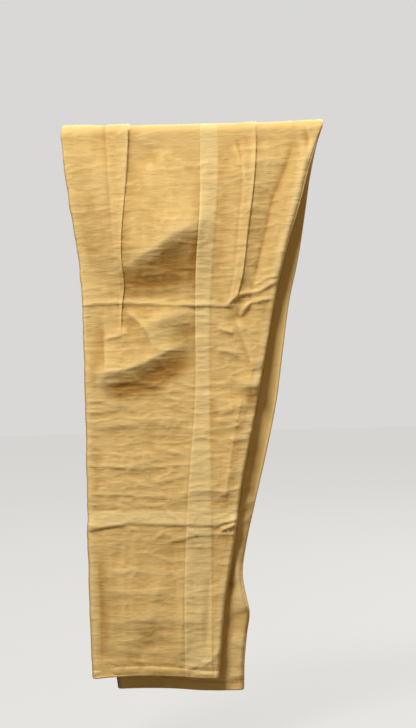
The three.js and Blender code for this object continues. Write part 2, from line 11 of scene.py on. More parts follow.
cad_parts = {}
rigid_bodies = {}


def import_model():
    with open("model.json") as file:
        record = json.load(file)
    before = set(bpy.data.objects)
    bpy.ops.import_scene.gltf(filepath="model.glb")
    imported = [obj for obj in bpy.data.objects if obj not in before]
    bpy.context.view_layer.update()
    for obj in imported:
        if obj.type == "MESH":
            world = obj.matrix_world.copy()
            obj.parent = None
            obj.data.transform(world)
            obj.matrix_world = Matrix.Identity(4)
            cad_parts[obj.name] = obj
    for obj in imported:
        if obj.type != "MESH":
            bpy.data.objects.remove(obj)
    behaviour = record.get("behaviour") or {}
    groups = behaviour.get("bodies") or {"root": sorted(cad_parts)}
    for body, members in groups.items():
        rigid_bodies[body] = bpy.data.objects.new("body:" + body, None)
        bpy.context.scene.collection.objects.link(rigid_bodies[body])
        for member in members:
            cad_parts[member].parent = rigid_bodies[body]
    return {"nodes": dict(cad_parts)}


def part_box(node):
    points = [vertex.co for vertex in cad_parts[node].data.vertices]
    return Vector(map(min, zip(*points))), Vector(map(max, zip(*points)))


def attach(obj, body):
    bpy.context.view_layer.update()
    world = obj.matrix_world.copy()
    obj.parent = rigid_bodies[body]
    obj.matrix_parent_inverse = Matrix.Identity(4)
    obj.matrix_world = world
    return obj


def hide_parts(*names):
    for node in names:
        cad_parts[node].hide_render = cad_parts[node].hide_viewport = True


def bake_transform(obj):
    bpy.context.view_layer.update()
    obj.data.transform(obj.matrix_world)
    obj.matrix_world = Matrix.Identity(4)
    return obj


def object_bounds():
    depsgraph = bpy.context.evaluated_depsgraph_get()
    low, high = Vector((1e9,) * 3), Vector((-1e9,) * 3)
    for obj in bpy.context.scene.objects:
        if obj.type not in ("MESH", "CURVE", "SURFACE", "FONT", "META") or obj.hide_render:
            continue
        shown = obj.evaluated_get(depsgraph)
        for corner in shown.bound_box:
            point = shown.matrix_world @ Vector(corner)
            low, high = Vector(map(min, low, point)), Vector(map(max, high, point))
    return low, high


bl_info = {
    "name": "Pleated trousers",
    "version": (1, 0, 0),
    "blender": (4, 5, 0),
    "location": "View3D > Sidebar > Trousers",
    "description": "Cotton trousers with two pleats a side, folded over a trouser bar",
    "category": "Object",
}

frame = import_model()
CAD_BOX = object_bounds()
MM = 0.001


def side_of(node, end, axis):
    """One side of a CAD node's box, in millimetres; end 0 is low and 1 is high."""
    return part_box(node)[end][axis] / MM


# ------------------------------------------------------------------ sizes from the frame
CLOTH = side_of("left_leg_panel_seam", 1, 1) - side_of("left_leg_panel_seam", 0, 1)
SHEET = CLOTH - 0.08            # thickness of a panel's cloth
BAND_OUT = 0.3                  # the waistband's inner face stands this far off the bar's room
BAR_R = side_of("left_waistband_front", 0, 1) - BAND_OUT
PITCH = 2.1                     # radial pitch of the four layers
STEP_OUT = 0.9                  # trunk layers lie this much further out than leg layers
RIGHT_END = -side_of("right_leg_back", 0, 2)
LEFT_END = -side_of("left_leg_back", 0, 2)
TRUNK_END = -side_of("right_waistband_front", 0, 2)
BAND_TOP = -side_of("right_waistband_front", 1, 2)
LEG_FAN = -side_of("right_leg_front_outer", 0, 1) - (BAR_R + 3 * PITCH + CLOTH)
TRUNK_FAN = 16.8
# the layers, innermost first, with how far each fans out and where its leg ends
LEFT_FRONT, LEFT_BACK, RIGHT_BACK, RIGHT_FRONT = 0, 1, 2, 3
FAN_SHARE = (0.0, 0.5, 0.5, 1.0)
LEG_ENDS = (LEFT_END, LEFT_END, RIGHT_END, RIGHT_END)
OUTER_ROOM = 19.0               # room for folds outside the outermost layer
EDGE_GAP = 0.42                 # a panel's edge lies this far from the middle of its seam
UNDER_CLOTH = 0.62              # an allowance's middle lies this far in from its panel's
MID_R = 12.0                    # a middling radius of the layers round the bar
HEM_HEIGHT, HEM_STEPS = 15.0, 90
PANEL_SHORT = 1.2               # a panel ends this far inside the turn of its hem
STITCH_PITCH = 0.0034           # metres


def smooth(t):
    t = np.clip(t, 0.0, 1.0)
    return t * t * (3 - 2 * t)


def curve(*points):
    """A smooth x(z) through (z, x) points, held level past its ends."""
    pts = sorted(points)
    zs = np.array([p[0] for p in pts], float)
    xs = np.array([p[1] for p in pts], float)
    slope = np.gradient(xs, zs)

    def at(z):
        z = np.clip(np.asarray(z, float), zs[0], zs[-1])
        i = np.clip(np.searchsorted(zs, z, side="right") - 1, 0, len(zs) - 2)
        span = zs[i + 1] - zs[i]
        t = (z - zs[i]) / span
        return ((2 * t ** 3 - 3 * t ** 2 + 1) * xs[i] + (t ** 3 - 2 * t ** 2 + t) * span * slope[i]
                + (3 * t ** 2 - 2 * t ** 3) * xs[i + 1] + (t ** 3 - t ** 2) * span * slope[i + 1])
    return at


# ------------------------------------------------------------------ outline of the garment
# x in millimetres at a height z in millimetres, above and below the bar's axis
RIGHT_SIDE = curve((13, -159), (-27, -157), (-93, -149), (-142, -142), (-207, -138),
                   (-320, -137), (-590, -137), (-655, -135.5))
RIGHT_INSEAM = curve((13, 160), (-15, 149), (-48, 138), (-80, 129.5), (-143, 110.5),
                     (-200, 96.5), (-274, 81.5), (-341, 68), (-420, 51), (-494, 39),
                     (-553, 28), (-620, 20.5), (-655, 17))
LEFT_INSEAM = curve((13, 158), (-17, 149), (-61, 139), (-92, 134), (-157, 122.5),
                    (-201, 112), (-264, 102), (-324, 93), (-387, 79), (-453, 62.5),
                    (-495, 52.5), (-536, 47), (-562, 51), (-577, 54), (-604, 50.5),
                    (-640, 46.5), (-666, 45.5))
LEFT_OUTSEAM = curve((13, -158), (-93, -146), (-207, -130), (-320, -124), (-590, -111),
                     (-666, -106.5))
PANEL_SEAM = curve((13, 8), (-90, 6), (-160, 0), (-330, -6), (-420, -15), (-520, -22),
                   (-655, -25))
ALLOWANCE = curve((13, 30), (-60, 28), (-130, 21), (-210, 15), (-330, 12), (-450, 11),
                  (-655, 7))
HEM_RISE = curve((-136, 0), (-110, 3.5), (-62, 4), (-31, 1), (-8, -3), (16, -5))
PLEAT_1_ROOT = curve((16, -107), (-67, -103), (-151, -98), (-191, -94), (-240, -95))
PLEAT_1_EDGE = curve((16, -77), (-46, -81), (-151, -89), (-183, -87), (-207, -90), (-240, -92))
PLEAT_2_ROOT = curve((16, 49), (-49, 58), (-110, 52), (-178, 44), (-205, 38))
PLEAT_2_EDGE = curve((16, 76), (-10, 76), (-66, 71), (-113, 64), (-178, 54), (-205, 47))
RIDGE = curve((16, 124), (-18, 119), (-57, 105), (-85, 93), (-111, 87), (-155, 76), (-194, 66),
              (-330, 56))
PLEAT_LINES = ((PLEAT_1_ROOT, PLEAT_1_EDGE), (PLEAT_2_ROOT, PLEAT_2_EDGE))
PLEAT_1_END, PLEAT_2_END = -246, -212
# root and edge of the same pleats behind the bar, and the panel seam and its allowance there
TRUNK_PLEATS = ((-106.0, -78.0), (47.0, 76.0))
TRUNK_SEAM, TRUNK_ALLOWANCE = 8.0, 28.0
# the line that the hanging waistband presses across the thigh, as heights along x
THIGH_LINE = ((-141, -205), (-91, -203.5), (-26, -207.5), (38, -210))
THIGH_PRESS = curve(*THIGH_LINE, (90, -208))


def front_line(z):
    """Centre-front fold of the trunk."""
    return 152.0 + 0.29 * np.asarray(z, float)


def back_line(z):
    """Centre-back seam of the trunk, which falls away inside the front fold."""
    z = np.asarray(z, float)
    return front_line(z) - (6 + 38 * np.clip(-z / 45.0, 0, 1) ** 0.8)


def wavy(line, seed, size=0.6):
    """The same line, a little uneven as an edge of cloth is."""
    def at(z):
        z = np.asarray(z, float)
        return (line(z) + size * 2 * value_noise(z / 17.0, seed + 0 * z, seed)
                + size * value_noise(z / 6.0, seed + 0 * z, seed))
    return at


def hem_drop(x, z, end):
    """How far the cloth near the hem lies off level: the edge rises and falls along it."""
    return (0.55 * HEM_RISE(x) - 0.8) * smooth((-z - end + 60) / 60)


def hip_line(z):
    """Side edge of the trunk."""
    return RIGHT_SIDE(z) + 2.5


def left_shift(z):
    """How far the left leg's lines lie towards +X of the right leg's."""
    return 29.0 * np.clip(-np.asarray(z, float) / 665.0, 0, 1.05)


def level(x):
    return lambda z: x + 0 * np.asarray(z, float)


# ------------------------------------------------------------------ folds of the cloth
class Crease:
    """A line of (x, z) points. Its positive side is above a line drawn towards +X."""

    def __init__(self, *points):
        self.p = np.array(points, float)

    def measure(self, x, z):
        best, signed = np.full(x.shape, 1e9), np.zeros(x.shape)
        along = np.zeros(x.shape)
        lengths = np.hypot(*(self.p[1:] - self.p[:-1]).T)
        total, run = lengths.sum(), 0.0
        for a, b, length in zip(self.p[:-1], self.p[1:], lengths):
            e = (b - a) / length
            t = np.clip((x - a[0]) * e[0] + (z - a[1]) * e[1], 0, length)
            d = np.hypot(x - a[0] - t * e[0], z - a[1] - t * e[1])
            near = d < best
            turn = e[0] * (z - a[1]) - e[1] * (x - a[0])
            signed = np.where(near, np.where(turn >= 0, d, -d), signed)
            along = np.where(near, (run + t) / total, along)
            best = np.where(near, d, best)
            run += length
        return signed, along

    def ridge(self, x, z, height, above, below, crisp, ends):
        """Climbs to the line over `above` on its positive side and falls over `below`; ends is
        the share of its length over which it fades in and out."""
        d, t = self.measure(x, z)
        q = np.where(d > 0, d / above, -d / below)
        fade = smooth(t / ends) * smooth((1 - t) / ends) if ends else 1.0
        if crisp == 0:       # a straight ramp up to the line and a short step down
            return height * np.where(d > 0, np.clip(1 - q, 0, 1), np.exp(-q ** 1.2)) * fade
        return height * np.exp(-np.abs(q) ** crisp) * fade


def value_noise(x, z, seed):
    def corner(ix, iz):
        v = np.sin(ix * 127.1 + iz * 311.7 + seed * 74.7) * 43758.5453
        return v - np.floor(v)

    ix, iz = np.floor(x), np.floor(z)
    fx, fz = smooth(x - ix), smooth(z - iz)
    low = corner(ix, iz) * (1 - fx) + corner(ix + 1, iz) * fx
    high = corner(ix, iz + 1) * (1 - fx) + corner(ix + 1, iz + 1) * fx
    return low * (1 - fz) + high * fz - 0.5


def wrinkles(x, z, seed, wide, tall, octaves=3):
    """Soft crumple, its largest folds `wide` by `tall` millimetres."""
    total, gain = np.zeros(np.shape(x)), 1.0
    for k in range(octaves):
        f = 1.9 ** k
        total = total + gain * value_noise(x / wide * f + 11 * k, z / tall * f + 7 * k, seed + k)
        gain *= 0.55
    return total


def crinkles(x, z, seed, wide, tall, fine=7.0):
    """Thin crisp creases that wander across the cloth."""
    n = wrinkles(x + 9 * value_noise(x / 25, z / 25, seed + 50), z, seed, wide, tall, 2)
    return np.maximum(0, 1 - np.abs(n) * fine) ** 1.6


def hump(d, width):
    return np.exp(-(d / width) ** 2)


def pleat(x, z, root, edge, end, height, hollow):
    """A strip that climbs from its root to a folded edge, with a hollow past the edge."""
    live = smooth((z - end) / 26)
    lift = np.clip((x - root) / np.maximum(edge - root, 3), 0, 1)
    past = x - edge
    return live * (np.where((x >= root) & (past <= 0.01),
                            0.25 * height * smooth((x - root) / 1.4) + 0.75 * height * lift, 0)
                   + np.where(past > 0.01, height * np.clip(1 - past / 0.9, 0, 1)
                              - hollow * smooth(past / 1.2) * (1 - smooth((past - 1.2) / 32)), 0)
                   - 0.35 * height * hump(x - root, 2.2))


# each pressed or crumpled fold: line of (x, z), height, reach above, reach below, sharpness
# and the share of its length that fades at each end
RIGHT_FOLDS = (
    (((-112, -178), (-55, -141), (-24, -121), (34, -92)), 15.5, 66, 32, 1.35, 0.4),
    (((-76, -4), (-60, -9), (-36, -18)), 1.4, 16, 12, 1.6, 0.45),
    (((-78, -20), (-36, -32)), -2.6, 14, 14, 1.8, 0.45),
    (((40, 9), (52, -20), (61, -49), (66, -72)), 0.9, 1.4, 5, 1.0, 0.2),
    (((136, 9), (139, -17), (136, -60)), -1.2, 2, 5, 1.4, 0.25),
    (THIGH_LINE, 1.3, 8, 0.9, 0, 0.0),
    (((50, -221), (63, -207), (92, -202)), 1.8, 7, 1.6, 1.1, 0.2),
    (((32, -212), (47, -199), (58, -196), (74, -194), (98, -181)), 1.8, 6, 2.0, 1.1, 0.15),
    (((66, -188), (84, -178), (100, -174)), 1.4, 5, 2.0, 1.1, 0.2),
    (((50, -224), (58, -216), (66, -205)), 1.6, 4, 2, 1.1, 0.2),
    (((-86, -212), (-68, -228), (-57, -243), (-50, -262)), 1.6, 5, 1.5, 1.1, 0.2),
    (((-112, -247), (-82, -239.5)), 1.5, 8, 1.6, 1.1, 0.2),
    (((-139, -282), (-113, -287), (-88, -284), (-61, -273), (-44, -264), (-4, -251)),
     8.5, 34, 15, 1.4, 0.3),
    (((-84, -235), (-41, -223), (4, -215)), 5.6, 15, 15, 1.6, 0.45),
    (((46, -221), (58, -257), (69, -292)), 3.0, 16, 3.0, 1.2, 0.2),
    (((22, -236), (46, -243)), 1.6, 7, 2, 1.1, 0.25),
    (((20, -262), (52, -268)), 1.6, 8, 3, 1.1, 0.25),
    (((40, -302), (86, -309)), 5.0, 20, 9, 1.5, 0.45),
    (((53, -312), (43, -353), (37, -386), (27, -445)), 3.2, 11, 18, 1.1, 0.12),
    (((22, -340), (44, -333)), 1.4, 8, 3, 1.2, 0.25),
    (((34, -372), (60, -368)), 1.3, 8, 3, 1.2, 0.25),
    (((30, -412), (54, -405)), 1.3, 10, 4, 1.2, 0.25),
    (((-138, -449), (-62, -451), (-2, -455), (42, -458)), -0.5, 1.2, 4, 1.2, 0.0),
    (((-138, -475), (-111, -469), (-88, -466.5), (-24, -470), (14, -471), (40, -466)),
     1.3, 19, 1.2, 0, 0.0),
    (((20, -478), (31, -474.5), (45, -469)), 2.6, 4, 2, 1.1, 0.2),
    (((-44, -491), (-25, -487), (0, -480.5)), 1.2, 8, 1.8, 1.1, 0.25),
    (((-44, -512), (-62, -560), (-72, -618)), 3.0, 20, 15, 1.6, 0.4),
    (((-104, -500), (-90, -560), (-88, -636)), 2.6, 16, 20, 1.8, 0.25),
    (((-20, -500), (-26, -570), (-30, -640)), 2.2, 14, 12, 1.6, 0.25),
    (((8, -524), (5, -562), (3, -592), (0, -628)), -2.0, 5, 6, 1.8, 0.3),
    (((-124, -500), (-122, -571), (-124, -645)), -1.3, 10, 3, 1.6, 0.2),
    (((-11, -640), (8, -628), (25, -610)), 1.5, 7, 3, 1.2, 0.3),
    (((-30, -643), (-6, -634)), 1.2, 5, 3, 1.2, 0.25),
    (((-140, -303), (-83, -299), (-17, -309)), 1.0, 12, 2.6, 1.2, 0.2),
    (((-139, -322), (-108, -319)), 1.0, 6, 2, 1.1, 0.3),
    (((-139, -335), (-92, -331)), 1.0, 9, 2.4, 1.1, 0.25),
    (((-135, -354), (-60, -346), (-16, -357)), 1.0, 12, 3, 1.2, 0.25),
    (((-60, -374), (-22, -386)), 0.9, 11, 3, 1.2, 0.25),
    (((-136, -395), (-70, -402), (10, -396)), 0.9, 14, 3, 1.2, 0.25),
    (((-66, -420), (-10, -411)), 0.9, 9, 3, 1.2, 0.25),
    (((-138, -430), (-40, -437), (30, -428)), 0.8, 12, 3, 1.2, 0.25),
    (((-130, -520), (-50, -526)), 1.0, 12, 6, 1.3, 0.25),
    (((-130, -546), (-30, -551)), 1.3, 13, 6, 1.3, 0.25),
    (((-137, -585), (-60, -580), (20, -590)), 1.3, 13, 6, 1.3, 0.25),
    (((-130, -618), (-60, -622), (0, -614)), 0.5, 12, 6, 1.3, 0.25),
)
BACK_FOLDS = (
    (((34, -496), (45, -541), (56, -577)), 2.6, 3, 14, 1.2, 0.1),
    (((22, -470), (30, -520), (34, -560)), -1.4, 6, 6, 1.6, 0.2),
    (((30, -452), (66, -446)), 1.6, 9, 3, 1.2, 0.25),
    (((34, -470), (62, -466)), 1.6, 9, 3, 1.2, 0.25),
    (((30, -610), (52, -622)), 1.6, 9, 4, 1.2, 0.25),
    (((24, -654), (50, -650)), 1.2, 5, 3, 1.2, 0.2),
)


def hem_stitch(z_end, x):
    """Height of the hem's stitching."""
    return -z_end + 11.5 + 0.4 * HEM_RISE(x)


def right_front_relief(x, z):
    """How far the right leg's front stands out from its plain layer, in millimetres."""
    h = pleat(x, z, PLEAT_1_ROOT(z), PLEAT_1_EDGE(z), PLEAT_1_END, 1.2, 0.4)
    past = x - PLEAT_1_EDGE(z)
    h -= 1.2 * smooth(past / 3.5) * (1 - smooth(past / 30)) * smooth((z + 70) / 50)
    h += pleat(x, z, PLEAT_2_ROOT(z), PLEAT_2_EDGE(z), PLEAT_2_END, 1.3, 0.0)
    # beyond the second pleat the cloth falls into a valley and climbs to the inseam
    edge, low, end = PLEAT_2_EDGE(z), RIDGE(z), RIGHT_INSEAM(z)
    bulge = smooth(-z / 40) * smooth((z + 236) / 90)
    before = smooth((x - 24) / np.maximum(edge - 24, 5))
    down = np.clip((x - edge) / np.maximum(low - edge, 4), 0, 1)
    up = np.clip((x - low) / np.maximum(end - 7 - low, 6), 0, 1)
    off = np.clip((x - end + 7) / 7, 0, 1)
    h += bulge * 5.5 * before * (1 - down)
    h += (0.25 + 0.75 * bulge) * smooth((z + 330) / 130) * 6.5 * up ** 0.9 * (1 - 0.5 * off ** 2)
    for points, *facts in RIGHT_FOLDS:
        h += Crease(*points).ridge(x, z, *facts)
    middle = smooth((-250 - z) / 60) * (1 - smooth((-470 - z) / 60))
    h += 3.0 * wrinkles(x, z, 3, 70, 90, 2)
    h += (0.6 + 0.2 * middle) * wrinkles(x, z, 9, 46, 12, 4)
    h += 0.7 * wrinkles(x, z, 14, 14, 40, 4)
    h += (0.36 + 0.2 * middle) * crinkles(x, z, 31, 60, 14)
    h += (0.3 + 0.12 * middle) * crinkles(x, z, 35, 26, 9, 9.0)
    h += 0.25 * crinkles(x, z, 38, 22, 80) * smooth((-z - 470) / 40)
    h -= 0.22 * hump(x - PANEL_SEAM(z), 0.9)
    h += 0.5 * smooth((x - PANEL_SEAM(z)) / 2) * (1 - smooth((x - ALLOWANCE(z)) / 2))
    stitch = hem_stitch(RIGHT_END, x)
    h -= 0.7 * hump(z - stitch, 1.6)
    h += 1.0 * hump(z - stitch + 5, 5) * (1 + 1.6 * wrinkles(x, z, 21, 7, 60, 1))
    h += 0.4 * hump(z - stitch - 4, 4) * (1 + 2 * wrinkles(x, z, 23, 6, 60, 1))
    return h


def plain_relief(seed, end, amount, folds=(), turned=False):
    """Soft folds of a layer with no pleats; turned bends its inseam edge back at the shin."""
    def relief(x, z):
        h = amount * 3.6 * wrinkles(x, z, seed, 54, 150, 3)
        h += amount * 1.4 * wrinkles(x, z, seed + 5, 46, 13, 4)
        h += amount * 0.6 * wrinkles(x, z, seed + 9, 13, 50, 3)
        h += amount * 0.4 * crinkles(x, z, seed + 12, 60, 15)
        for points, *facts in folds:
            h += Crease(*points).ridge(x, z, *facts)
        if turned:
            away = np.clip((x - LEFT_INSEAM(z) + 30) / 30, 0, 1)
            h -= 4.0 * away ** 1.2 * smooth((z + 520) / 60)
        return h - 0.7 * hump(z - hem_stitch(end, x), 1.6)
    return relief


def left_front_relief(x, z):
    """Soft folds, the two pleats and the panel seam of the left leg's front."""
    u = x - left_shift(z)
    h = plain_relief(41, LEFT_END, 0.8)(x, z)
    h += pleat(u, z, PLEAT_1_ROOT(z), PLEAT_1_EDGE(z), PLEAT_1_END, 1.9, 0.7)
    h += pleat(u, z, PLEAT_2_ROOT(z), PLEAT_2_EDGE(z), PLEAT_2_END, 1.9, 0.7)
    return h - 0.6 * hump(u - PANEL_SEAM(z), 0.8)


def trunk_relief(seed, amount, pleats=2.2, gathers=0.0):
    """Pleats, fixed in the waistband, that open towards the bar; gathers at the back waist."""
    def relief(x, z):
        h = amount * 3.4 * wrinkles(x, z, seed, 46, 110, 3) + amount * 1.1 * wrinkles(
            x, z, seed + 5, 40, 14, 4) + amount * 0.35 * crinkles(x, z, seed + 8, 50, 18)
        if pleats:
            for root, edge in TRUNK_PLEATS:
                lift = np.clip((x - root) / (edge - root), 0, 1)
                past = x - edge
                h += np.where((x >= root) & (past <= 0.01), pleats * lift ** 0.8, 0)
                h += np.where(past > 0.01, pleats * np.clip(1 - past / 0.9, 0, 1), 0)
        near = smooth((-z - 70) / 100)
        h += gathers * near * np.sin(x / 7.0 * 2 * np.pi + 3 * wrinkles(x, z, seed + 2, 30, 80, 1))
        return h - 0.5 * hump(x - TRUNK_SEAM, 0.8) * (pleats > 0)
    return relief


# ------------------------------------------------------------------ the layers in space
def gap_out(region, q, layer):
    """Distance from a layer to the next one out, both in their middle."""
    share = FAN_SHARE[layer + 1] - FAN_SHARE[layer]
    if region == "leg":
        return PITCH + LEG_FAN * share * (-q / RIGHT_END)
    if region == "trunk":
        return PITCH + TRUNK_FAN * share * (-q / TRUNK_END)
    return PITCH


def within_room(h, x, layer, region, q):
    """Keeps a layer's folds inside its own share of the room between its neighbours."""
    room = [0.45 * gap_out(region, q, k) - 0.35 if 0 <= k < 3 else OUTER_ROOM
            for k in (layer - 1, layer)]
    if layer == LEFT_FRONT:       # the bar passes inside the innermost layer
        room[0] = 3.0 if region == "trunk" else 0.8
    if layer == LEFT_BACK and region == "leg":    # what shows past the other leg is free
        room[1] = room[1] + 3.5 * smooth((x - RIGHT_INSEAM(q) - 1) / 8)
    for way, most in ((1, room[0]), (-1, room[1])):
        soft = 0.25 + 0.12 * np.minimum(most, 5.0)
        h = way * (soft * np.logaddexp(0, (way * h + most) / soft) - most)
    return h


def layer_point(layer, region, q, h):
    """(y, z) of a layer with h outwards from its middle, at the height q of the trunk or
    leg, or at q degrees round the bar from the legs' side."""
    leg_r = BAR_R + layer * PITCH + CLOTH / 2
    trunk_r = leg_r + STEP_OUT
    if region == "trunk":
        return trunk_r + TRUNK_FAN * FAN_SHARE[layer] * (-q / TRUNK_END) + h, q + 0 * h
    if region == "leg":
        return -(leg_r + LEG_FAN * FAN_SHARE[layer] * (-q / RIGHT_END) + h), q + 0 * h
    a = math.radians(q)
    r = leg_r + (trunk_r - leg_r) * float(smooth(q / 180.0)) + h
    return -r * math.cos(a), r * math.sin(a)


def stations(trunk_end, leg_end, trunk_step, turn_step, leg_step, layer):
    """The lengthwise stations of a panel, from the waist over the bar to the hem."""
    n = max(2, round(trunk_end / trunk_step))
    rows = [("trunk", -trunk_end * (1 - k / n)) for k in range(n)]
    r = BAR_R + layer * PITCH + CLOTH / 2
    n = max(8, round(math.pi * r / turn_step))
    rows += [("turn", 180.0 * (1 - k / n)) for k in range(n + 1)]
    n = max(2, round(leg_end / leg_step))
    return rows + [("leg", -leg_end * (k + 1) / n) for k in range(n)]


def line_over(leg, trunk):
    """A lengthwise line that follows `leg` below the bar in front and `trunk` behind it."""
    def at(region, q, r):
        if region == "leg":
            return float(leg(q))
        if region == "trunk":
            return float(trunk(q))
        w = float(smooth(q / 180.0))
        z = r * math.sin(math.radians(q))
        return float(leg(z)) * (1 - w) + float(trunk(0.0)) * w
    return at


def edge_reach(gap):
    """How far in from its edge a panel bends to meet the other one of its leg."""
    return 1.2 + 0.45 * gap


def meet_share(layer, region, q):
    """Where the edges of a leg's two layers meet, as a share of the gap from `layer`."""
    if region != "leg" or layer < RIGHT_BACK:
        return 0.5
    return 0.5 + 0.24 * float(smooth(-q / 120)) * (1 if layer == RIGHT_FRONT else -1)


def mid_gap(side, region, q):
    """(y, z) where the front and back of a leg meet."""
    inner = LEFT_FRONT if side == "left" else RIGHT_BACK
    return layer_point(inner, region, q,
                       gap_out(region, q, inner) * meet_share(inner, region, q))


def crown(region, q):
    """The outermost layer stands a little off the ones under it."""
    if region == "leg":
        return 0.6 + 1.6 * float(smooth(-q / 60.0))
    return 0.4 if region == "trunk" else 0.5


def way_out(layer):
    """Which way the right side of a layer's cloth looks: +1 away from the bar, -1 to it."""
    return 1 if layer % 2 else -1


def folds_of(layer):
    """A layer's folds: on the leg, and on the trunk behind the bar."""
    if layer == RIGHT_FRONT:
        return right_front_relief, trunk_relief(61, 1.0)
    if layer == LEFT_FRONT:
        return left_front_relief, trunk_relief(71, 0.5)
    if layer == RIGHT_BACK:
        return plain_relief(81, RIGHT_END, 0.55), trunk_relief(84, 0.5, 0.0, 0.5)
    return plain_relief(91, LEFT_END, 0.75, BACK_FOLDS, True), trunk_relief(94, 0.5, 0.0, 0.5)


def fold_height(folds, layer, region, q, x):
    """How far a panel's folds stand off its plain layer at the places x of one station."""
    relief, behind = folds
    z = np.full(x.shape, float(q))
    if region == "leg":
        h = relief(x, z)
    elif region == "trunk":
        h = behind(x, z)
    else:
        z[:] = (BAR_R + layer * PITCH + CLOTH / 2) * math.sin(math.radians(q))
        w = float(smooth((q - 60) / 90))
        h = (1 - w) * relief(x, z) + w * behind(x, np.minimum(z, 0))
    h = h * way_out(layer) * bpy.context.scene.trousers.fold_depth
    return within_room(h, x, layer, region, q)


def meet_edges(h, x, bends, layer, region, q):
    """Bends a panel's side edges to meet the other panel of the same leg."""
    gap = gap_out(region, q, layer - layer % 2)
    target = -way_out(layer) * (gap * meet_share(layer, region, q) - EDGE_GAP)
    for end, bends_here in zip((0, -1), bends):
        if not bends_here or (end == -1 and region == "trunk"):
            continue
        d = np.clip(np.abs(x - x[end]) / edge_reach(gap), 0, 1)
        fade = 1 - float(smooth(q / 90)) if end == -1 and region == "turn" else 1.0
        bend = 1 - np.sqrt(1 - (1 - d) ** 2)
        h = h * (1 - fade * (1 - d) ** 2) + fade * target * bend
    return h


# ------------------------------------------------------------------ meshes
def lay_map(mesh, uv):
    """The cloth's map, from one (u, v) in metres for each vertex."""
    index = np.empty(len(mesh.loops), np.int32)
    mesh.loops.foreach_get("vertex_index", index)
    layer = mesh.uv_layers.new(name="Cloth")
    layer.data.foreach_set("uv", uv[index].astype(np.float32).ravel())


def placed(name, mesh, material, angle):
    """An object in the scene, smooth except at edges sharper than `angle` degrees."""
    mesh.polygons.foreach_set("use_smooth", np.ones(len(mesh.polygons), bool))
    mesh.set_sharp_from_angle(angle=math.radians(angle))
    mesh.materials.append(material)
    obj = bpy.data.objects.new(name, mesh)
    bpy.context.scene.collection.objects.link(obj)
    return obj


def closed_sheet(name, points, uv, attributes):
    """A closed thin cloth from its middle surface: points is rows by columns by 3, metres."""
    rows, cols = points.shape[:2]
    normal = np.cross(np.gradient(points, axis=1), np.gradient(points, axis=0))
    normal /= np.maximum(np.linalg.norm(normal, axis=2, keepdims=True), 1e-12)
    offset = normal * (SHEET * MM) / 2
    verts = np.concatenate([(points + offset).reshape(-1, 3), (points - offset).reshape(-1, 3)])
    n = rows * cols
    r, c = np.meshgrid(np.arange(rows - 1), np.arange(cols - 1), indexing="ij")
    a = (r * cols + c).reshape(-1)
    quads = np.stack([a, a + 1, a + cols + 1, a + cols], -1)
    first = np.arange(cols - 1)
    last = first + (rows - 1) * cols
    low = np.arange(rows - 1) * cols
    high = low + cols - 1
    faces = np.concatenate([quads, quads[:, ::-1] + n] + [
        np.stack([i, j, j + n, i + n], -1)
        for i, j in ((first + 1, first), (last, last + 1), (low, low + cols),
                     (high + cols, high))])
    # the outer side has to face outwards
    p = verts[faces[0]]
    if np.dot(np.cross(p[1] - p[0], p[3] - p[0]), verts[0] - verts[n]) < 0:
        faces = faces[:, ::-1]
    mesh = bpy.data.meshes.new(name)
    mesh.from_pydata(verts.tolist(), [], faces.tolist())
    lay_map(mesh, np.concatenate([uv.reshape(-1, 2)] * 2))
    for key, values in attributes.items():
        slot = mesh.attributes.new(key, "FLOAT", "POINT")
        slot.data.foreach_set("value", np.concatenate([values.ravel()] * 2).astype(np.float32))
    return placed(name, mesh, cotton(), 62)


def ring_object(name, points, uv, angle, wrap):
    """A closed mesh of rings of points, in metres: wrap joins the last ring to the first, and
    otherwise a face closes each end."""
    rows, cols = points.shape[:2]
    r, c = np.meshgrid(np.arange(rows if wrap else rows - 1), np.arange(cols), indexing="ij")
    r2, c2 = (r + 1) % rows, (c + 1) % cols
    quads = np.stack([r * cols + c, r * cols + c2, r2 * cols + c2, r2 * cols + c], -1)
    faces = quads.reshape(-1, 4).tolist()
    if not wrap:
        faces += [list(range(cols))[::-1], [(rows - 1) * cols + k for k in range(cols)]]
    mesh = bpy.data.meshes.new(name)
    mesh.from_pydata(points.reshape(-1, 3).tolist(), [], faces)
    fix = bmesh.new()
    fix.from_mesh(mesh)
    bmesh.ops.recalc_face_normals(fix, faces=fix.faces)
    fix.to_mesh(mesh)
    fix.free()
    lay_map(mesh, uv)
    return placed(name, mesh, cotton(), angle)


def strip_object(name, path, across, section):
    """A closed ribbon: `section` is (across, up) points in millimetres, for the whole path or
    for each of its points; across is +1 or -1, the way along X that the section runs."""
    path = np.array(path, float)
    along = np.gradient(path, axis=0)
    along /= np.linalg.norm(along, axis=1, keepdims=True)
    side = np.tile((float(across), 0.0, 0.0), (len(path), 1))
    side = side - (side * along).sum(1, keepdims=True) * along
    side /= np.linalg.norm(side, axis=1, keepdims=True)
    up = np.cross(side, along)
    sec = np.array(section, float)
    if sec.ndim == 2:
        sec = np.repeat(sec[None], len(path), 0)
    points = path[:, None] + sec[..., :1] * side[:, None] + sec[..., 1:] * up[:, None]
    run = np.concatenate([[0], np.cumsum(np.linalg.norm(np.diff(path, axis=0), axis=1))]) * MM
    girth = np.arange(sec.shape[1]) * 0.0006
    uv = np.stack(np.meshgrid(girth, run), -1).reshape(-1, 2)
    return ring_object(name, points * MM, uv, 55, False)


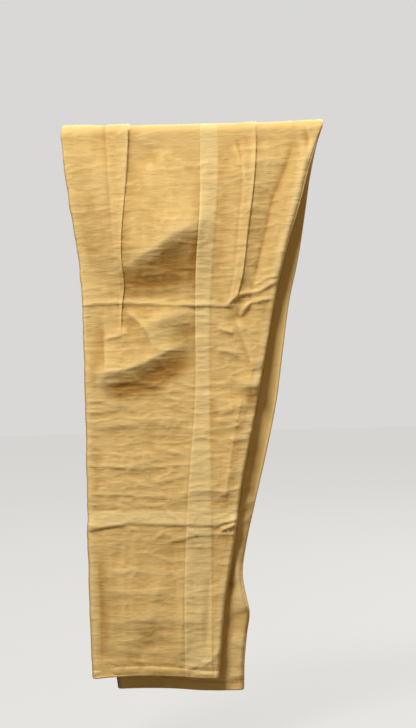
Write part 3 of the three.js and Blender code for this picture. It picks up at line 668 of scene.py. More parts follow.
def softened(name, cad_node, material, edge=0.22):
    """A cloth piece with the shape of a CAD node, its edges rounded by `edge` millimetres."""
    bm = bmesh.new()
    copy = frame["nodes"][cad_node].data.copy()
    bm.from_mesh(copy)
    bpy.data.meshes.remove(copy)
    bmesh.ops.remove_doubles(bm, verts=bm.verts, dist=1e-6)
    bmesh.ops.recalc_face_normals(bm, faces=bm.faces)
    bmesh.ops.dissolve_limit(bm, angle_limit=math.radians(1.0), verts=bm.verts, edges=bm.edges)
    sharp = [e for e in bm.edges if len(e.link_faces) == 2 and e.calc_face_angle() > 0.7]
    bmesh.ops.bevel(bm, geom=sharp, offset=edge * MM, segments=2, affect="EDGES",
                    profile=0.5, clamp_overlap=True)
    bmesh.ops.triangulate(bm, faces=bm.faces)
    mesh = bpy.data.meshes.new(name)
    bm.to_mesh(mesh)
    bm.free()
    layer = mesh.uv_layers.new(name="Cloth")
    for poly in mesh.polygons:
        flat = max(range(3), key=lambda k: abs(poly.normal[k]))
        keep = [k for k in range(3) if k != flat]
        for li in poly.loop_indices:
            co = mesh.vertices[mesh.loops[li].vertex_index].co
            layer.data[li].uv = (co[keep[0]], co[keep[1]])
    return placed(name, mesh, material, 40)


def assign(obj, slot, moves, *nodes):
    """Hides the CAD nodes a piece stands for and puts it on the body it rides on; a piece given a
    blend instead keeps its place in the world. The slot is not used."""
    if nodes:
        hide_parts(*nodes)
    if isinstance(moves, str):
        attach(obj, moves)
    else:
        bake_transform(obj)
    return obj


def spread(counts):
    """Columns between key lines, from the number of steps in each span."""
    return [(0, 0.0)] + [(k, (i + 1) / n) for k, n in enumerate(counts) for i in range(n)]


def cloth_panel(name, nodes, layer, keys, counts, steps, bends, doubled_cloth_and_highlight=None):
    """One width of cloth from the waist over the bar to the hem.

    keys are lines across the panel from -X to +X and counts the steps between them; steps
    are the rows' pitch on the trunk, the turn and the leg; bends says which of its two side
    edges bend to meet the other panel of the leg."""
    leg_end = LEG_ENDS[layer] - PANEL_SHORT
    rows = stations(BAND_TOP, leg_end, *steps, layer)
    places = spread(counts)
    folds = folds_of(layer)
    r = BAR_R + layer * PITCH + CLOTH / 2
    xs, ys, zs, heights = [], [], [], []
    for region, q in rows:
        lines = [k(region, q, r) for k in keys]
        x = np.array([lines[k] + (lines[k + 1] - lines[k]) * t for k, t in places])
        h = fold_height(folds, layer, region, q, x)
        if layer == RIGHT_FRONT:
            h = h + crown(region, q)
        h = meet_edges(h, x, bends, layer, region, q)
        y, z = layer_point(layer, region, q, h)
        if region == "leg":
            z = z + hem_drop(x, q, leg_end)
        xs.append(x), ys.append(y + 0 * x), zs.append(z + 0 * x), heights.append(h)
    points = np.stack([np.array(xs), np.array(ys), np.array(zs)], -1) * MM
    step = np.linalg.norm(np.diff(points.mean(1), axis=0), axis=1)
    run = np.concatenate([[0], np.cumsum(step)])
    uv = np.stack([points[..., 0], np.repeat(run[:, None], points.shape[1], 1)], -1)
    fold = np.array(heights)
    # painted shade in hollows and under folds (positive), painted highlight on crests (negative),
    # worked out from the folds' shape
    fold_shade_and_highlight = 0.8 * (blurred(fold, 4) - fold) + 0.5 * np.clip(under_fold_shade(fold, rows) - 0.9, 0, 3.0)
    # pale where the cloth is doubled over a seam's allowance, and a painted highlight on the bands
    # that face up to the light
    doubled_and_highlight_mask = np.zeros(fold.shape)
    if doubled_cloth_and_highlight:
        behind_bar = np.array([[{"trunk": 1.0, "turn": float(smooth(q / 180)), "leg": 0.0}[region]]
                               for region, q in rows])
        doubled_and_highlight_mask = doubled_cloth_and_highlight(np.array(xs), np.array(zs), behind_bar)
    obj = closed_sheet(name, points, uv, {"fold_shade_and_highlight": fold_shade_and_highlight, "doubled_cloth_and_highlight": doubled_and_highlight_mask})
    assign(obj, "cotton", BLENDS[layer], *nodes)


def under_fold_shade(fold, rows):
    """How far the cloth lies back from what hangs above it, up and to its side: where the painted
    shade under folds goes.
    """
    above = np.roll(np.roll(fold, 11, axis=0), 4, axis=1)
    above[:11], above[:, :4] = fold[:11], fold[:, :4]
    legs = np.array([[float(region == "leg" or (region == "turn" and q < 30))]
                     for region, q in rows])
    return (blurred(above, 6) - blurred(fold, 6)) * legs


def blurred(a, n):
    """A box blur, twice, over n cells each way."""
    for _ in range(2):
        for axis in (0, 1):
            pad = [(n, n) if k == axis else (0, 0) for k in (0, 1)]
            c = np.cumsum(np.pad(a, pad, mode="edge"), axis=axis)
            hi = np.take(c, range(2 * n, c.shape[axis]), axis=axis)
            lo = np.take(c, range(0, c.shape[axis] - 2 * n), axis=axis)
            a = (hi - lo) / (2 * n)
    return a


# ------------------------------------------------------------------ finishes
def group(name, inputs, outputs):
    """A new shader node group and its input and output nodes, or None where it exists."""
    tree = bpy.data.node_groups.get(name)
    if tree:
        return tree, None, None
    tree = bpy.data.node_groups.new(name, "ShaderNodeTree")
    for label, kind, value in inputs:
        socket = tree.interface.new_socket(label, in_out="INPUT", socket_type="NodeSocket" + kind)
        if value is not None:
            socket.default_value = value
    for label, kind in outputs:
        tree.interface.new_socket(label, in_out="OUTPUT", socket_type="NodeSocket" + kind)
    return tree, tree.nodes.new("NodeGroupInput"), tree.nodes.new("NodeGroupOutput")


def feed(tree, sockets, facts):
    """Gives each named socket its value or its link."""
    for key, source in facts.items():
        if isinstance(source, bpy.types.NodeSocket):
            tree.links.new(source, sockets[key])
        else:
            sockets[key].default_value = source


def node(tree, kind, facts=None, **values):
    """A node with its properties set and its inputs fed."""
    made = tree.nodes.new(kind)
    for key, value in values.items():
        setattr(made, key, value)
    feed(tree, made.inputs, facts or {})
    return made


def math_node(tree, operation, a, b):
    return node(tree, "ShaderNodeMath", {0: a, 1: b}, operation=operation).outputs[0]


def weighted(tree, a, share_a, b, share_b):
    """The sum of two values, each times its share."""
    return math_node(tree, "ADD", math_node(tree, "MULTIPLY", a, share_a),
                     math_node(tree, "MULTIPLY", b, share_b))


def mix(tree, blend, amount, a, b):
    """Mixes two colours."""
    return node(tree, "ShaderNodeMix", {0: amount, 6: a, 7: b}, data_type="RGBA",
                blend_type=blend).outputs[2]


def noise(tree, vector, stretch, detail=3.0, rough=0.55):
    """Noise with so many cells to a millimetre along each axis."""
    place = node(tree, "ShaderNodeMapping", {"Vector": vector, "Scale": stretch})
    return node(tree, "ShaderNodeTexNoise", {"Vector": place.outputs[0], "Scale": 1000.0,
                                             "Detail": detail, "Roughness": rough}).outputs["Fac"]


def span(tree, value, low, high, to_low, to_high):
    """A value's place between low and high, moved to between to_low and to_high."""
    return node(tree, "ShaderNodeMapRange", {0: value, 1: low, 2: high, 3: to_low, 4: to_high}
                ).outputs[0]


def weave_group():
    """Slubbed plain weave: uneven threads both ways, thicker ones across."""
    tree, given, out = group(
        "Slub weave", [("Vector", "Vector", None), ("Colour", "Color", (0.7, 0.5, 0.3, 1)),
                       ("Thread", "Color", (0.8, 0.65, 0.4, 1)), ("Contrast", "Float", 0.5)],
        [("Colour", "Color"), ("Height", "Float")])
    if given is None:
        return tree
    vector = given.outputs["Vector"]
    across = noise(tree, vector, (0.07, 0.9, 1), 2.0)
    along = noise(tree, vector, (1.0, 0.06, 1), 2.0)
    slub = noise(tree, vector, (0.035, 0.42, 1), 2.0, 0.7)
    patch = noise(tree, vector, (0.012, 0.02, 1), 3.0)
    threads = weighted(tree, across, 0.6, along, 0.4)
    slubs = span(tree, slub, 0.5, 0.72, 0.0, 1.0)
    tone = weighted(tree, span(tree, threads, 0.35, 0.65, 0, 1), 0.5, slubs, 0.35)
    tone = math_node(tree, "MULTIPLY", tone, given.outputs["Contrast"])
    colour = mix(tree, "MIX", tone, given.outputs["Colour"], given.outputs["Thread"])
    shade = node(tree, "ShaderNodeCombineColor", {
        k: span(tree, patch, 0.3, 0.7, low, 1.03) for k, low in enumerate((0.96, 0.93, 0.88))})
    feed(tree, out.inputs, {"Colour": mix(tree, "MULTIPLY", 1.0, colour, shade.outputs[0]),
                            "Height": weighted(tree, threads, 0.6, slubs, 0.4)})
    return tree


def painted_fold_light_group():
    """Colour with painted shade in the hollows of the folds and under them, a painted highlight on
    crests and on bands that face up to the light, and paler doubled cloth.
    """
    tree, given, out = group(
        "Painted fold shade and highlight",
        [("Colour", "Color", (0.7, 0.5, 0.3, 1)), ("Fold shade", "Color", (0.5, 0.3, 0.1, 1)),
         ("Pale", "Color", (0.85, 0.72, 0.5, 1))], [("Colour", "Color")])
    if given is None:
        return tree
    fold_shade_and_highlight, doubled_cloth_and_highlight = (node(tree, "ShaderNodeAttribute", attribute_name=name,
                            attribute_type="GEOMETRY").outputs["Fac"]
                       for name in ("fold_shade_and_highlight", "doubled_cloth_and_highlight"))
    # painted shade: hollows and cloth under folds take the darker fold colour; painted highlight:
    # crests take the pale colour
    deep = span(tree, fold_shade_and_highlight, 0.0, 1.3, 0.0, 0.85)
    painted_crest_highlight = span(tree, fold_shade_and_highlight, -1.2, 0.0, 0.45, 0.0)
    colour = mix(tree, "MIX", deep, given.outputs["Colour"], given.outputs["Fold shade"])
    colour = mix(tree, "MIX", painted_crest_highlight, colour, given.outputs["Pale"])
    # doubled cloth over an allowance pales, and on the right leg a painted highlight pales the
    # bands that face up to the light
    colour = mix(tree, "MIX", math_node(tree, "MULTIPLY", doubled_cloth_and_highlight, 0.42), colour,
                 given.outputs["Pale"])
    tree.links.new(colour, out.inputs["Colour"])
    return tree


def linear(r, g, b):
    """A linear colour from 8-bit sRGB numbers."""
    def one(v):
        v /= 255.0
        return v / 12.92 if v <= 0.04045 else ((v + 0.055) / 1.055) ** 2.4
    return one(r), one(g), one(b), 1.0


def bump(tree, shader, strength, distance, height):
    made = node(tree, "ShaderNodeBump", {"Strength": strength, "Distance": distance,
                                         "Height": height})
    tree.links.new(made.outputs[0], shader["Normal"])


def material_of(name, fill, *facts):
    """The material of that name, whose nodes `fill` sets the first time it's asked for."""
    material = bpy.data.materials.get(name)
    if material is None:
        material = bpy.data.materials.new(name)
        material.use_nodes = True
        tree = material.node_tree
        fill(tree, tree.nodes["Principled BSDF"].inputs, *facts)
    return material


# deep is the painted shade colour of folds, pale the painted highlight colour of crests and lit
# bands, which also pales doubled cloth and the threads
def woven(tree, shader, colour, deep, pale, contrast=0.9, rough=0.86, sheen=0.12):
    """A cotton cloth whose weave follows the cloth's own map."""
    where = node(tree, "ShaderNodeUVMap", uv_map="Cloth").outputs[0]
    tone = node(tree, "ShaderNodeGroup", {"Colour": colour, "Fold shade": deep, "Pale": pale},
                node_tree=painted_fold_light_group()).outputs[0]
    weave = node(tree, "ShaderNodeGroup",
                 {"Vector": where, "Colour": tone, "Contrast": contrast,
                  "Thread": mix(tree, "SCREEN", 0.14, tone, pale)}, node_tree=weave_group())
    feed(tree, shader, {"Roughness": rough, "Sheen Weight": sheen, "Sheen Roughness": 0.6,
                        "Sheen Tint": (1.0, 0.93, 0.8, 1.0), "Specular IOR Level": 0.25,
                        "Base Color": weave.outputs["Colour"]})
    crumple = noise(tree, where, (0.06, 0.16, 1), 4.0, 0.6)
    bump(tree, shader, 0.6, 0.0016, weighted(tree, weave.outputs["Height"], 0.3, crumple, 0.7))


def cotton():
    s = bpy.context.scene.trousers
    return material_of("Tan cotton", woven, *(tuple(c) + (1,) for c in (
        s.cotton_colour, s.fold_shade_colour, s.crest_highlight_colour)))


# colour, painted shade colour for folds, painted highlight colour for crests and paler doubled
# cloth, contrast of the weave, roughness and sheen
TRIM_CLOTH = {
    "Pocket lining": (linear(226, 219, 200), linear(190, 175, 140), linear(240, 236, 225),
                      0.3, 0.9, 0.05),
    "White webbing": (linear(232, 230, 222), linear(190, 186, 170), linear(245, 244, 240),
                      0.6, 0.85, 0.05),
    "Zip tape cloth": (linear(178, 142, 84), linear(120, 84, 36), linear(205, 172, 116),
                       0.7, 0.8, 0.05),
}


def trim_cloth(name):
    return material_of(name, woven, *TRIM_CLOTH[name])


def object_place(tree):
    return node(tree, "ShaderNodeTexCoord").outputs["Object"]


def thread(tree, shader):
    """Twisted sewing thread."""
    twist = noise(tree, object_place(tree), (0.8, 0.8, 0.8), 2.0)
    feed(tree, shader, {"Base Color": mix(tree, "MIX", twist, linear(176, 134, 72),
                                          linear(222, 184, 118)),
                        "Roughness": 0.6, "Sheen Weight": 0.2})
    bump(tree, shader, 0.4, 0.0002, twist)


def brass(tree, shader):
    """Brass with darker stains and fine scratches."""
    where = object_place(tree)
    stain = noise(tree, where, (0.3, 0.3, 0.3), 5.0, 0.65)
    feed(tree, shader, {"Base Color": mix(tree, "MIX", span(tree, stain, 0.4, 0.65, 0, 1),
                                          linear(196, 158, 84), linear(126, 96, 50)),
                        "Roughness": span(tree, stain, 0.3, 0.7, 0.28, 0.48), "Metallic": 1.0})
    bump(tree, shader, 0.25, 0.0001, noise(tree, where, (0.3, 0.3, 3.0), 2.0))


def horn(tree, shader):
    """Cloudy resin that looks like horn."""
    cloud = noise(tree, object_place(tree), (0.14, 0.14, 0.336), 4.0, 0.6)
    feed(tree, shader, {"Base Color": mix(tree, "MIX", span(tree, cloud, 0.35, 0.65, 0, 1),
                                          linear(120, 82, 44), linear(196, 160, 108)),
                        "Roughness": span(tree, cloud, 0.3, 0.7, 0.22, 0.34),
                        "Coat Weight": 0.3})


# ------------------------------------------------------------------ lines of the pieces
# the bodies each layer lies between, and from which height to which, innermost layer first; nothing
# bends the layers with them
BLENDS = tuple(("trunk", leg, (0, 0.002, 0), (0, end, 0)) for leg, end in (
    ("left_leg", -0.0046), ("left_leg", -0.008), ("right_leg", -0.0105),
    ("right_leg", -0.0105)))

OUTSEAM = {"right": line_over(wavy(RIGHT_SIDE, 3), hip_line),
           "left": line_over(wavy(LEFT_OUTSEAM, 5), hip_line)}
INSEAM = {"right": RIGHT_INSEAM, "left": LEFT_INSEAM}


def beside(line, step):
    return lambda region, q, r: line(region, q, r) + step


def kept_within(line, a, b, low, high):
    """A line held between two shares of the width from line a to line b."""
    def at(region, q, r):
        start = a(region, q, r)
        wide = b(region, q, r) - start
        return min(max(line(region, q, r), start + low * wide), start + high * wide)
    return at


def shift_of(side):
    return left_shift if side == "left" else level(0.0)


def leg_line(side, line, trunk_x):
    """A line of the right leg on either side's leg, and its place behind the bar."""
    shift = shift_of(side)
    return line_over(lambda z: line(z) + shift(z), level(trunk_x))


def allowance_and_highlight_mask(side):
    """Where a front's inner width shows pale: over the seam's allowance, where the cloth is
    doubled, and on the right leg a painted highlight on the bands that face up to the light.
    """
    shift = shift_of(side)

    def doubled_and_highlight_mask(x, z, behind_bar):
        u = x - shift(z) * (1 - behind_bar)
        a = PANEL_SEAM(z) * (1 - behind_bar) + TRUNK_SEAM * behind_bar
        b = ALLOWANCE(z) * (1 - behind_bar) + TRUNK_ALLOWANCE * behind_bar
        strip = smooth((u - a) / 1.0) * (1 - smooth((u - b) / 1.5 + 0.5))
        return np.maximum(strip, lit_band_highlight(x, z) * (side == "right"))
    return doubled_and_highlight_mask


def lit_band_highlight(x, z, _behind_bar=None):
    """Where a painted highlight pales the cloth: a band on the shin and a line on the thigh, which
    face up to the light.
    """
    low = -469.5 + 1.5 * np.sin(x / 26.0)
    thigh = THIGH_PRESS(x)
    return 0.9 * np.maximum(smooth((z - low) / 1.5) * (1 - smooth((z + 452) / 2.5)),
                            smooth((z - thigh) / 0.8) * (1 - smooth((z - thigh - 1.2) / 1.6)))


# ------------------------------------------------------------------ pieces
# how far in from a side edge the columns of a panel stand close together, in millimetres
NEAR_EDGE = (0.7, 3.0, 11.0)


class TROUSERS_OT_front_panels(bpy.types.Operator):
    """Make the two widths of each front, with their pleats, from the waist to the hem"""
    bl_idname = "trousers.front_panels"
    bl_label = "Front panels"

    def execute(self, context):
        for side, layer, steps, coarse in (("right", RIGHT_FRONT, (3.0, 1.6, 1.6), 1.0),
                                           ("left", LEFT_FRONT, (4.5, 2.0, 4.0), 2.0)):
            out, seam = OUTSEAM[side], leg_line(side, PANEL_SEAM, TRUNK_SEAM)
            inn = line_over(INSEAM[side], front_line)
            (root, edge), (root_2, edge_2) = (
                [leg_line(side, line, x) for line, x in zip(lines, places)]
                for lines, places in zip(PLEAT_LINES, TRUNK_PLEATS))
            cloth_panel(
                f"{side}_front_outer_panel",
                [f"{side}_leg_front_outer", f"{side}_hip_front_outer",
                 f"{side}_leg_pleat_outer", f"{side}_hip_pleat_outer"], layer,
                [out, *(beside(out, step) for step in NEAR_EDGE), root, edge,
                 beside(edge, 1.0), beside(seam, -2.5), beside(seam, -0.05)],
                [2, 2, 4, round(12 / coarse), round(14 / coarse), 2, round(44 / coarse), 2],
                steps, (True, False),
                lit_band_highlight if side == "right" else None)
            # the pleat's lines end where the leg is still wider than they reach
            held = [kept_within(line, seam, inn, low, high) for line, low, high in (
                (root_2, 0.12, 0.60), (edge_2, 0.2, 0.7), (beside(edge_2, 1.0), 0.22, 0.72),
                (beside(inn, -11.0), 0.74, 0.99), (beside(inn, -3.0), 0.9, 0.99),
                (beside(inn, -0.7), 0.97, 0.998))]
            cloth_panel(
                f"{side}_front_inner_panel",
                [f"{side}_leg_front_inner", f"{side}_hip_front_inner",
                 f"{side}_leg_pleat_inner", f"{side}_hip_pleat_inner"], layer,
                [beside(seam, 0.05), beside(seam, 2.0), *held, inn],
                [2, round(22 / coarse), round(14 / coarse), 2, round(30 / coarse), 4, 3, 2],
                steps, (False, True), allowance_and_highlight_mask(side))
        return {"FINISHED"}


class TROUSERS_OT_back_panels(bpy.types.Operator):
    """Make the back of each leg, gathered at the waist"""
    bl_idname = "trousers.back_panels"
    bl_label = "Back panels"

    def execute(self, context):
        for side, layer in (("right", RIGHT_BACK), ("left", LEFT_BACK)):
            out = OUTSEAM[side]
            inn = line_over(INSEAM[side], back_line)
            cloth_panel(
                f"{side}_back_panel", [f"{side}_leg_back", f"{side}_hip_back"], layer,
                [out, *(beside(out, step) for step in NEAR_EDGE), beside(inn, -45.0),
                 *(beside(inn, -step) for step in reversed(NEAR_EDGE)), inn],
                [2, 2, 4, 34, 16, 5, 3, 2], (3.0, 1.8, 3.0), (True, True))
        return {"FINISHED"}


# section of a side seam: its welt at the edge and its allowances turned in
WELT = ((0.55, 0.0), (0.35, 0.3), (0.0, 0.42), (-1.0, 0.3), (-11.5, 0.12), (-11.5, -0.12),
        (-1.0, -0.3), (0.0, -0.42), (0.35, -0.3))


def front_allowance(side, layer, end):
    """The path and the sections of the pressed allowance behind the seam down a front."""
    folds, seam = folds_of(layer), leg_line(side, PANEL_SEAM, TRUNK_SEAM)
    path, sections = [], []
    for region, q in stations(BAND_TOP - 3, end - 18, 4.0, 2.0, 3.0, layer):
        a = seam(region, q, MID_R)
        w = (float(ALLOWANCE(q) - PANEL_SEAM(q)) if region == "leg" else 20.0) - 1.5
        h = fold_height(folds, layer, region, q, np.linspace(a - 1.5, a + w, 7))
        h = (h.min() + crown(region, q) - UNDER_CLOTH if side == "right"
             else h.max() + UNDER_CLOTH)
        path.append((a, *layer_point(layer, region, q, h)))
        sections.append([(-1.5, 0.12), (w * 0.5, 0.16), (w, 0.1), (w, -0.1), (w * 0.5, -0.1),
                         (-1.5, -0.12)])
    return path, sections


class TROUSERS_OT_seams(bpy.types.Operator):
    """Make the side seams, inseams, panel seams and rises"""
    bl_idname = "trousers.seams"
    bl_label = "Seams"

    def execute(self, context):
        for side, front, joint in (("right", RIGHT_FRONT, BLENDS[RIGHT_BACK]),
                                   ("left", LEFT_FRONT, BLENDS[LEFT_BACK])):
            end = LEG_ENDS[front]
            rows = stations(BAND_TOP - 1, end - 1.5, 4.0, 2.0, 5.0, RIGHT_BACK)
            path = [(OUTSEAM[side](region, q, MID_R), *mid_gap(side, region, q))
                    for region, q in rows]
            assign(strip_object(f"{side}_outseam", path, -1, WELT), "cotton_dark", joint,
                   f"{side}_leg_outseam", f"{side}_hip_outseam")
            path = [(float(INSEAM[side](q)), *mid_gap(side, "leg", q))
                    for q in (-3.0 - (end - 4.5) * k / 139 for k in range(140))]
            assign(strip_object(f"{side}_inseam_piece", path, 1, WELT), "cotton_dark",
                   f"{side}_leg", f"{side}_inseam")
            path, sections = front_allowance(side, front, end)
            assign(strip_object(f"{side}_front_allowance", path, 1, sections), "cotton_dark",
                   BLENDS[front], f"{side}_leg_panel_seam", f"{side}_hip_panel_seam")
        for where in ("front", "back"):
            assign(softened(f"{where}_rise_join", f"{where}_rise_seam", cotton()),
                   "cotton_dark", "trunk", f"{where}_rise_seam")
        return {"FINISHED"}


# section of a turned hem, as (outward, up) from the lower edge of the cloth
HEM_SECTION = ((0.30, 1.6), (0.32, 0.7), (0.12, 0.12), (-0.35, -0.05), (-0.8, 0.12),
               (-1.02, 0.7), (-1.05, 7.0), (-1.0, HEM_HEIGHT), (-0.55, HEM_HEIGHT),
               (-0.55, 7.0), (-0.55, 2.4), (-0.3, 1.7))


def hem_ring(side, end):
    """Points round a leg's opening: along its front, then back along the other panel."""
    right = side == "right"
    inner = RIGHT_BACK if right else LEFT_FRONT
    x0, x1 = float(OUTSEAM[side]("leg", -end, 0)), float(INSEAM[side](-end))
    reach = edge_reach(gap_out("leg", -end, inner))
    mid = mid_gap(side, "leg", -end)[0]
    faces_y = [layer_point(k, "leg", -end, 0.0)[0] for k in (inner, inner + 1)]
    path = []
    for k in range(2 * HEM_STEPS):
        first, t = k < HEM_STEPS, (k % HEM_STEPS) / HEM_STEPS
        x = x0 + (x1 - x0) * (t if first else 1 - t)
        d = min(x - x0, x1 - x)
        bend = 1 - math.sqrt(max(0.0, 1 - (1 - min(d / reach, 1)) ** 2))
        way = -1 if first == right else 1
        depth = abs(faces_y[1 if way < 0 else 0] - mid)
        depth -= bend * (depth - EDGE_GAP)
        lift = crown("leg", -end) * (1 - bend) if right and first else 0.0
        path.append((x, mid + way * (depth + lift), -end))
    return np.array(path)


class TROUSERS_OT_hems(bpy.types.Operator):
    """Make the turned-up hem round each leg opening"""
    bl_idname = "trousers.hems"
    bl_label = "Hems"

    def execute(self, context):
        for side, end in (("right", RIGHT_END), ("left", LEFT_END)):
            path = hem_ring(side, end)
            tangent = np.roll(path, -1, 0) - np.roll(path, 1, 0)
            tangent /= np.linalg.norm(tangent, axis=1, keepdims=True)
            outward = np.stack([tangent[:, 1], -tangent[:, 0], 0 * tangent[:, 0]], 1)
            if np.mean((outward * (path - path.mean(0))).sum(1)) < 0:
                outward = -outward
            rings = []
            for o, up in HEM_SECTION:
                ring = path + outward * o
                ring[:, 2] += up + hem_drop(path[:, 0], -end, end)
                rings.append(ring)
            uv = np.stack(np.meshgrid(np.arange(len(path)) * 0.0017,
                                      np.arange(len(rings)) * 0.0015), -1).reshape(-1, 2)
            assign(ring_object(f"{side}_hem_turn", np.array(rings) * MM, uv, 60, True),
                   "cotton_light", f"{side}_leg", f"{side}_hem")
        return {"FINISHED"}


class TROUSERS_OT_waistband(bpy.types.Operator):
    """Make the three pieces of the waistband"""
    bl_idname = "trousers.waistband"
    bl_label = "Waistband"

    def execute(self, context):
        for name, piece in (("right_waistband_front", "right_band_front"),
                            ("left_waistband_front", "left_band_front"),
                            ("waistband_back", "band_back")):
            assign(softened(piece, name, cotton(), 0.3), "cotton", "trunk", name)
        return {"FINISHED"}


class TROUSERS_OT_belt_loops(bpy.types.Operator):
    """Make the belt loops"""
    bl_idname = "trousers.belt_loops"
    bl_label = "Belt loops"

    def execute(self, context):
        for side in ("right", "left"):
            for where in ("side", "front"):
                name = f"{side}_belt_loop_{where}"
                assign(softened(f"{side}_{where}_loop", name, cotton(), 0.25), "cotton",
                       "trunk", name)
        return {"FINISHED"}


# CAD node, piece, cloth, slot, and for a sheet its flat size in metres and how it's held
INNER_TRIM = (
    ("right_pocket_bag", "right_pocket", "Pocket lining", "lining", (0.112, 0.2), "laid"),
    ("left_pocket_bag", "left_pocket", "Pocket lining", "lining", (0.112, 0.2), "laid"),
    ("right_waist_elastic", "right_elastic", "White webbing", "white_web", None, None),
    ("left_waist_elastic", "left_elastic", "White webbing", "white_web", None, None),
    ("care_label", "blank_label", "White webbing", "white_web", (0.03, 0.04), "hung"),
)


class TROUSERS_OT_inner_trim(bpy.types.Operator):
    """Make the pocket bags, the waist elastic and the care label"""
    bl_idname = "trousers.inner_trim"
    bl_label = "Pockets, elastic and label"

    def execute(self, context):
        for name, piece, cloth, slot, flat, held in INNER_TRIM:
            obj = assign(softened(piece, name, trim_cloth(cloth), 0.15), slot, "trunk", name)
        return {"FINISHED"}


class TROUSERS_OT_zip(bpy.types.Operator):
    """Make the zip's cloth tapes and finish its metal and the button"""
    bl_idname = "trousers.zip"
    bl_label = "Zip and button"

    def execute(self, context):
        for side in ("right", "left"):
            assign(softened(f"{side}_zip_tape", f"zip_tape_{side}",
                            trim_cloth("Zip tape cloth"), 0.12),
                   "zip_tape", "trunk", f"zip_tape_{side}")
        for name in ("zip_teeth_right", "zip_teeth_left", "zip_top_stop", "zip_bottom_stop",
                     "zip_slider", "zip_pull_tab"):
            frame["nodes"][name].data.materials[0] = material_of("Antique brass", brass)
        frame["nodes"]["waist_button"].data.materials[0] = material_of("Horn-effect resin", horn)
        return {"FINISHED"}


def stitch_tree():
    """Geometry Nodes that sew a line: a short thread at every step along each curve."""
    tree = bpy.data.node_groups.get("Row of stitches")
    if tree:
        return tree
    tree = bpy.data.node_groups.new("Row of stitches", "GeometryNodeTree")
    face = tree.interface
    face.new_socket("Geometry", in_out="INPUT", socket_type="NodeSocketGeometry")
    for label, kind, value in (("Pitch", "Float", STITCH_PITCH), ("Stitch length", "Float", 0.0026),
                               ("Thread radius", "Float", 0.00026), ("Seed", "Int", 7)):
        face.new_socket(label, in_out="INPUT", socket_type="NodeSocket" + kind
                        ).default_value = value
    face.new_socket("Thread", in_out="INPUT", socket_type="NodeSocketMaterial")
    face.new_socket("Geometry", in_out="OUTPUT", socket_type="NodeSocketGeometry")
    given, out = tree.nodes.new("NodeGroupInput"), tree.nodes.new("NodeGroupOutput")
    line = node(tree, "GeometryNodeMeshToCurve", {"Mesh": given.outputs["Geometry"]})
    even = node(tree, "GeometryNodeResampleCurve",
                {"Curve": line.outputs[0], "Length": given.outputs["Pitch"]}, mode="LENGTH")
    tangent = node(tree, "GeometryNodeInputTangent")
    aim = node(tree, "FunctionNodeAlignRotationToVector", {"Vector": tangent.outputs[0]},
               axis="Z")
    stick = node(tree, "GeometryNodeMeshCylinder",
                 {"Vertices": 6, "Radius": given.outputs["Thread radius"],
                  "Depth": given.outputs["Stitch length"]})
    vary = node(tree, "FunctionNodeRandomValue", {"Seed": given.outputs["Seed"]},
                data_type="FLOAT_VECTOR")
    feed(tree, vary.inputs, {0: (0.9, 0.9, 0.86), 1: (1.1, 1.1, 1.1)})
    put = node(tree, "GeometryNodeInstanceOnPoints",
               {"Points": even.outputs[0], "Instance": stick.outputs[0],
                "Rotation": aim.outputs[0], "Scale": vary.outputs[0]})
    real = node(tree, "GeometryNodeRealizeInstances", {0: put.outputs[0]})
    paint = node(tree, "GeometryNodeSetMaterial", {"Geometry": real.outputs[0],
                                                   "Material": given.outputs["Thread"]})
    tree.links.new(paint.outputs[0], out.inputs[0])
    return tree


def sew(name, lines, body, pitch=STITCH_PITCH):
    """Stitches along lines of points in metres, as one plain mesh riding on a body."""
    mesh = bpy.data.meshes.new(name + "_path")
    verts, edges = [], []
    for line in lines:
        edges += [(len(verts) + k, len(verts) + k + 1) for k in range(len(line) - 1)]
        verts += [tuple(p) for p in line]
    mesh.from_pydata(verts, edges, [])
    guide = bpy.data.objects.new(name + "_path", mesh)
    bpy.context.scene.collection.objects.link(guide)
    tree = stitch_tree()
    live = guide.modifiers.new("Stitches", "NODES")
    live.node_group = tree
    for item in tree.interface.items_tree:
        if item.in_out == "INPUT" and item.name == "Pitch":
            live[item.identifier] = pitch
        if item.in_out == "INPUT" and item.name == "Thread":
            live[item.identifier] = material_of("Sewing thread", thread)
    graph = bpy.context.evaluated_depsgraph_get()
    made = bpy.data.meshes.new_from_object(guide.evaluated_get(graph), depsgraph=graph)
    guide.modifiers.clear()
    bpy.data.objects.remove(guide)
    made.name = name
    obj = bpy.data.objects.new(name, made)
    bpy.context.scene.collection.objects.link(obj)
    made.polygons.foreach_set("use_smooth", np.ones(len(made.polygons), bool))
    assign(obj, "cotton_light", body)


def on_surface(names, places, way, lift=0.12):
    """Where rays along Y from outside meet the named pieces: way -1 comes from the legs'
    side and +1 from the trunk's. places are (x, z) in millimetres."""
    trees = []
    for n in names:
        bm = bmesh.new()
        bm.from_mesh(bpy.data.objects[n].data)
        trees.append(BVHTree.FromBMesh(bm))
        bm.free()
    found = []
    for x, z in places:
        hits = []
        for tree in trees:
            spot = tree.ray_cast(Vector((x * MM, way * 0.2, z * MM)), Vector((0, -way, 0)))[0]
            if spot:
                hits.append(spot.y)
        if hits:
            y = min(hits) if way < 0 else max(hits)
            found.append((x * MM, y + way * lift * MM, z * MM))
    return found


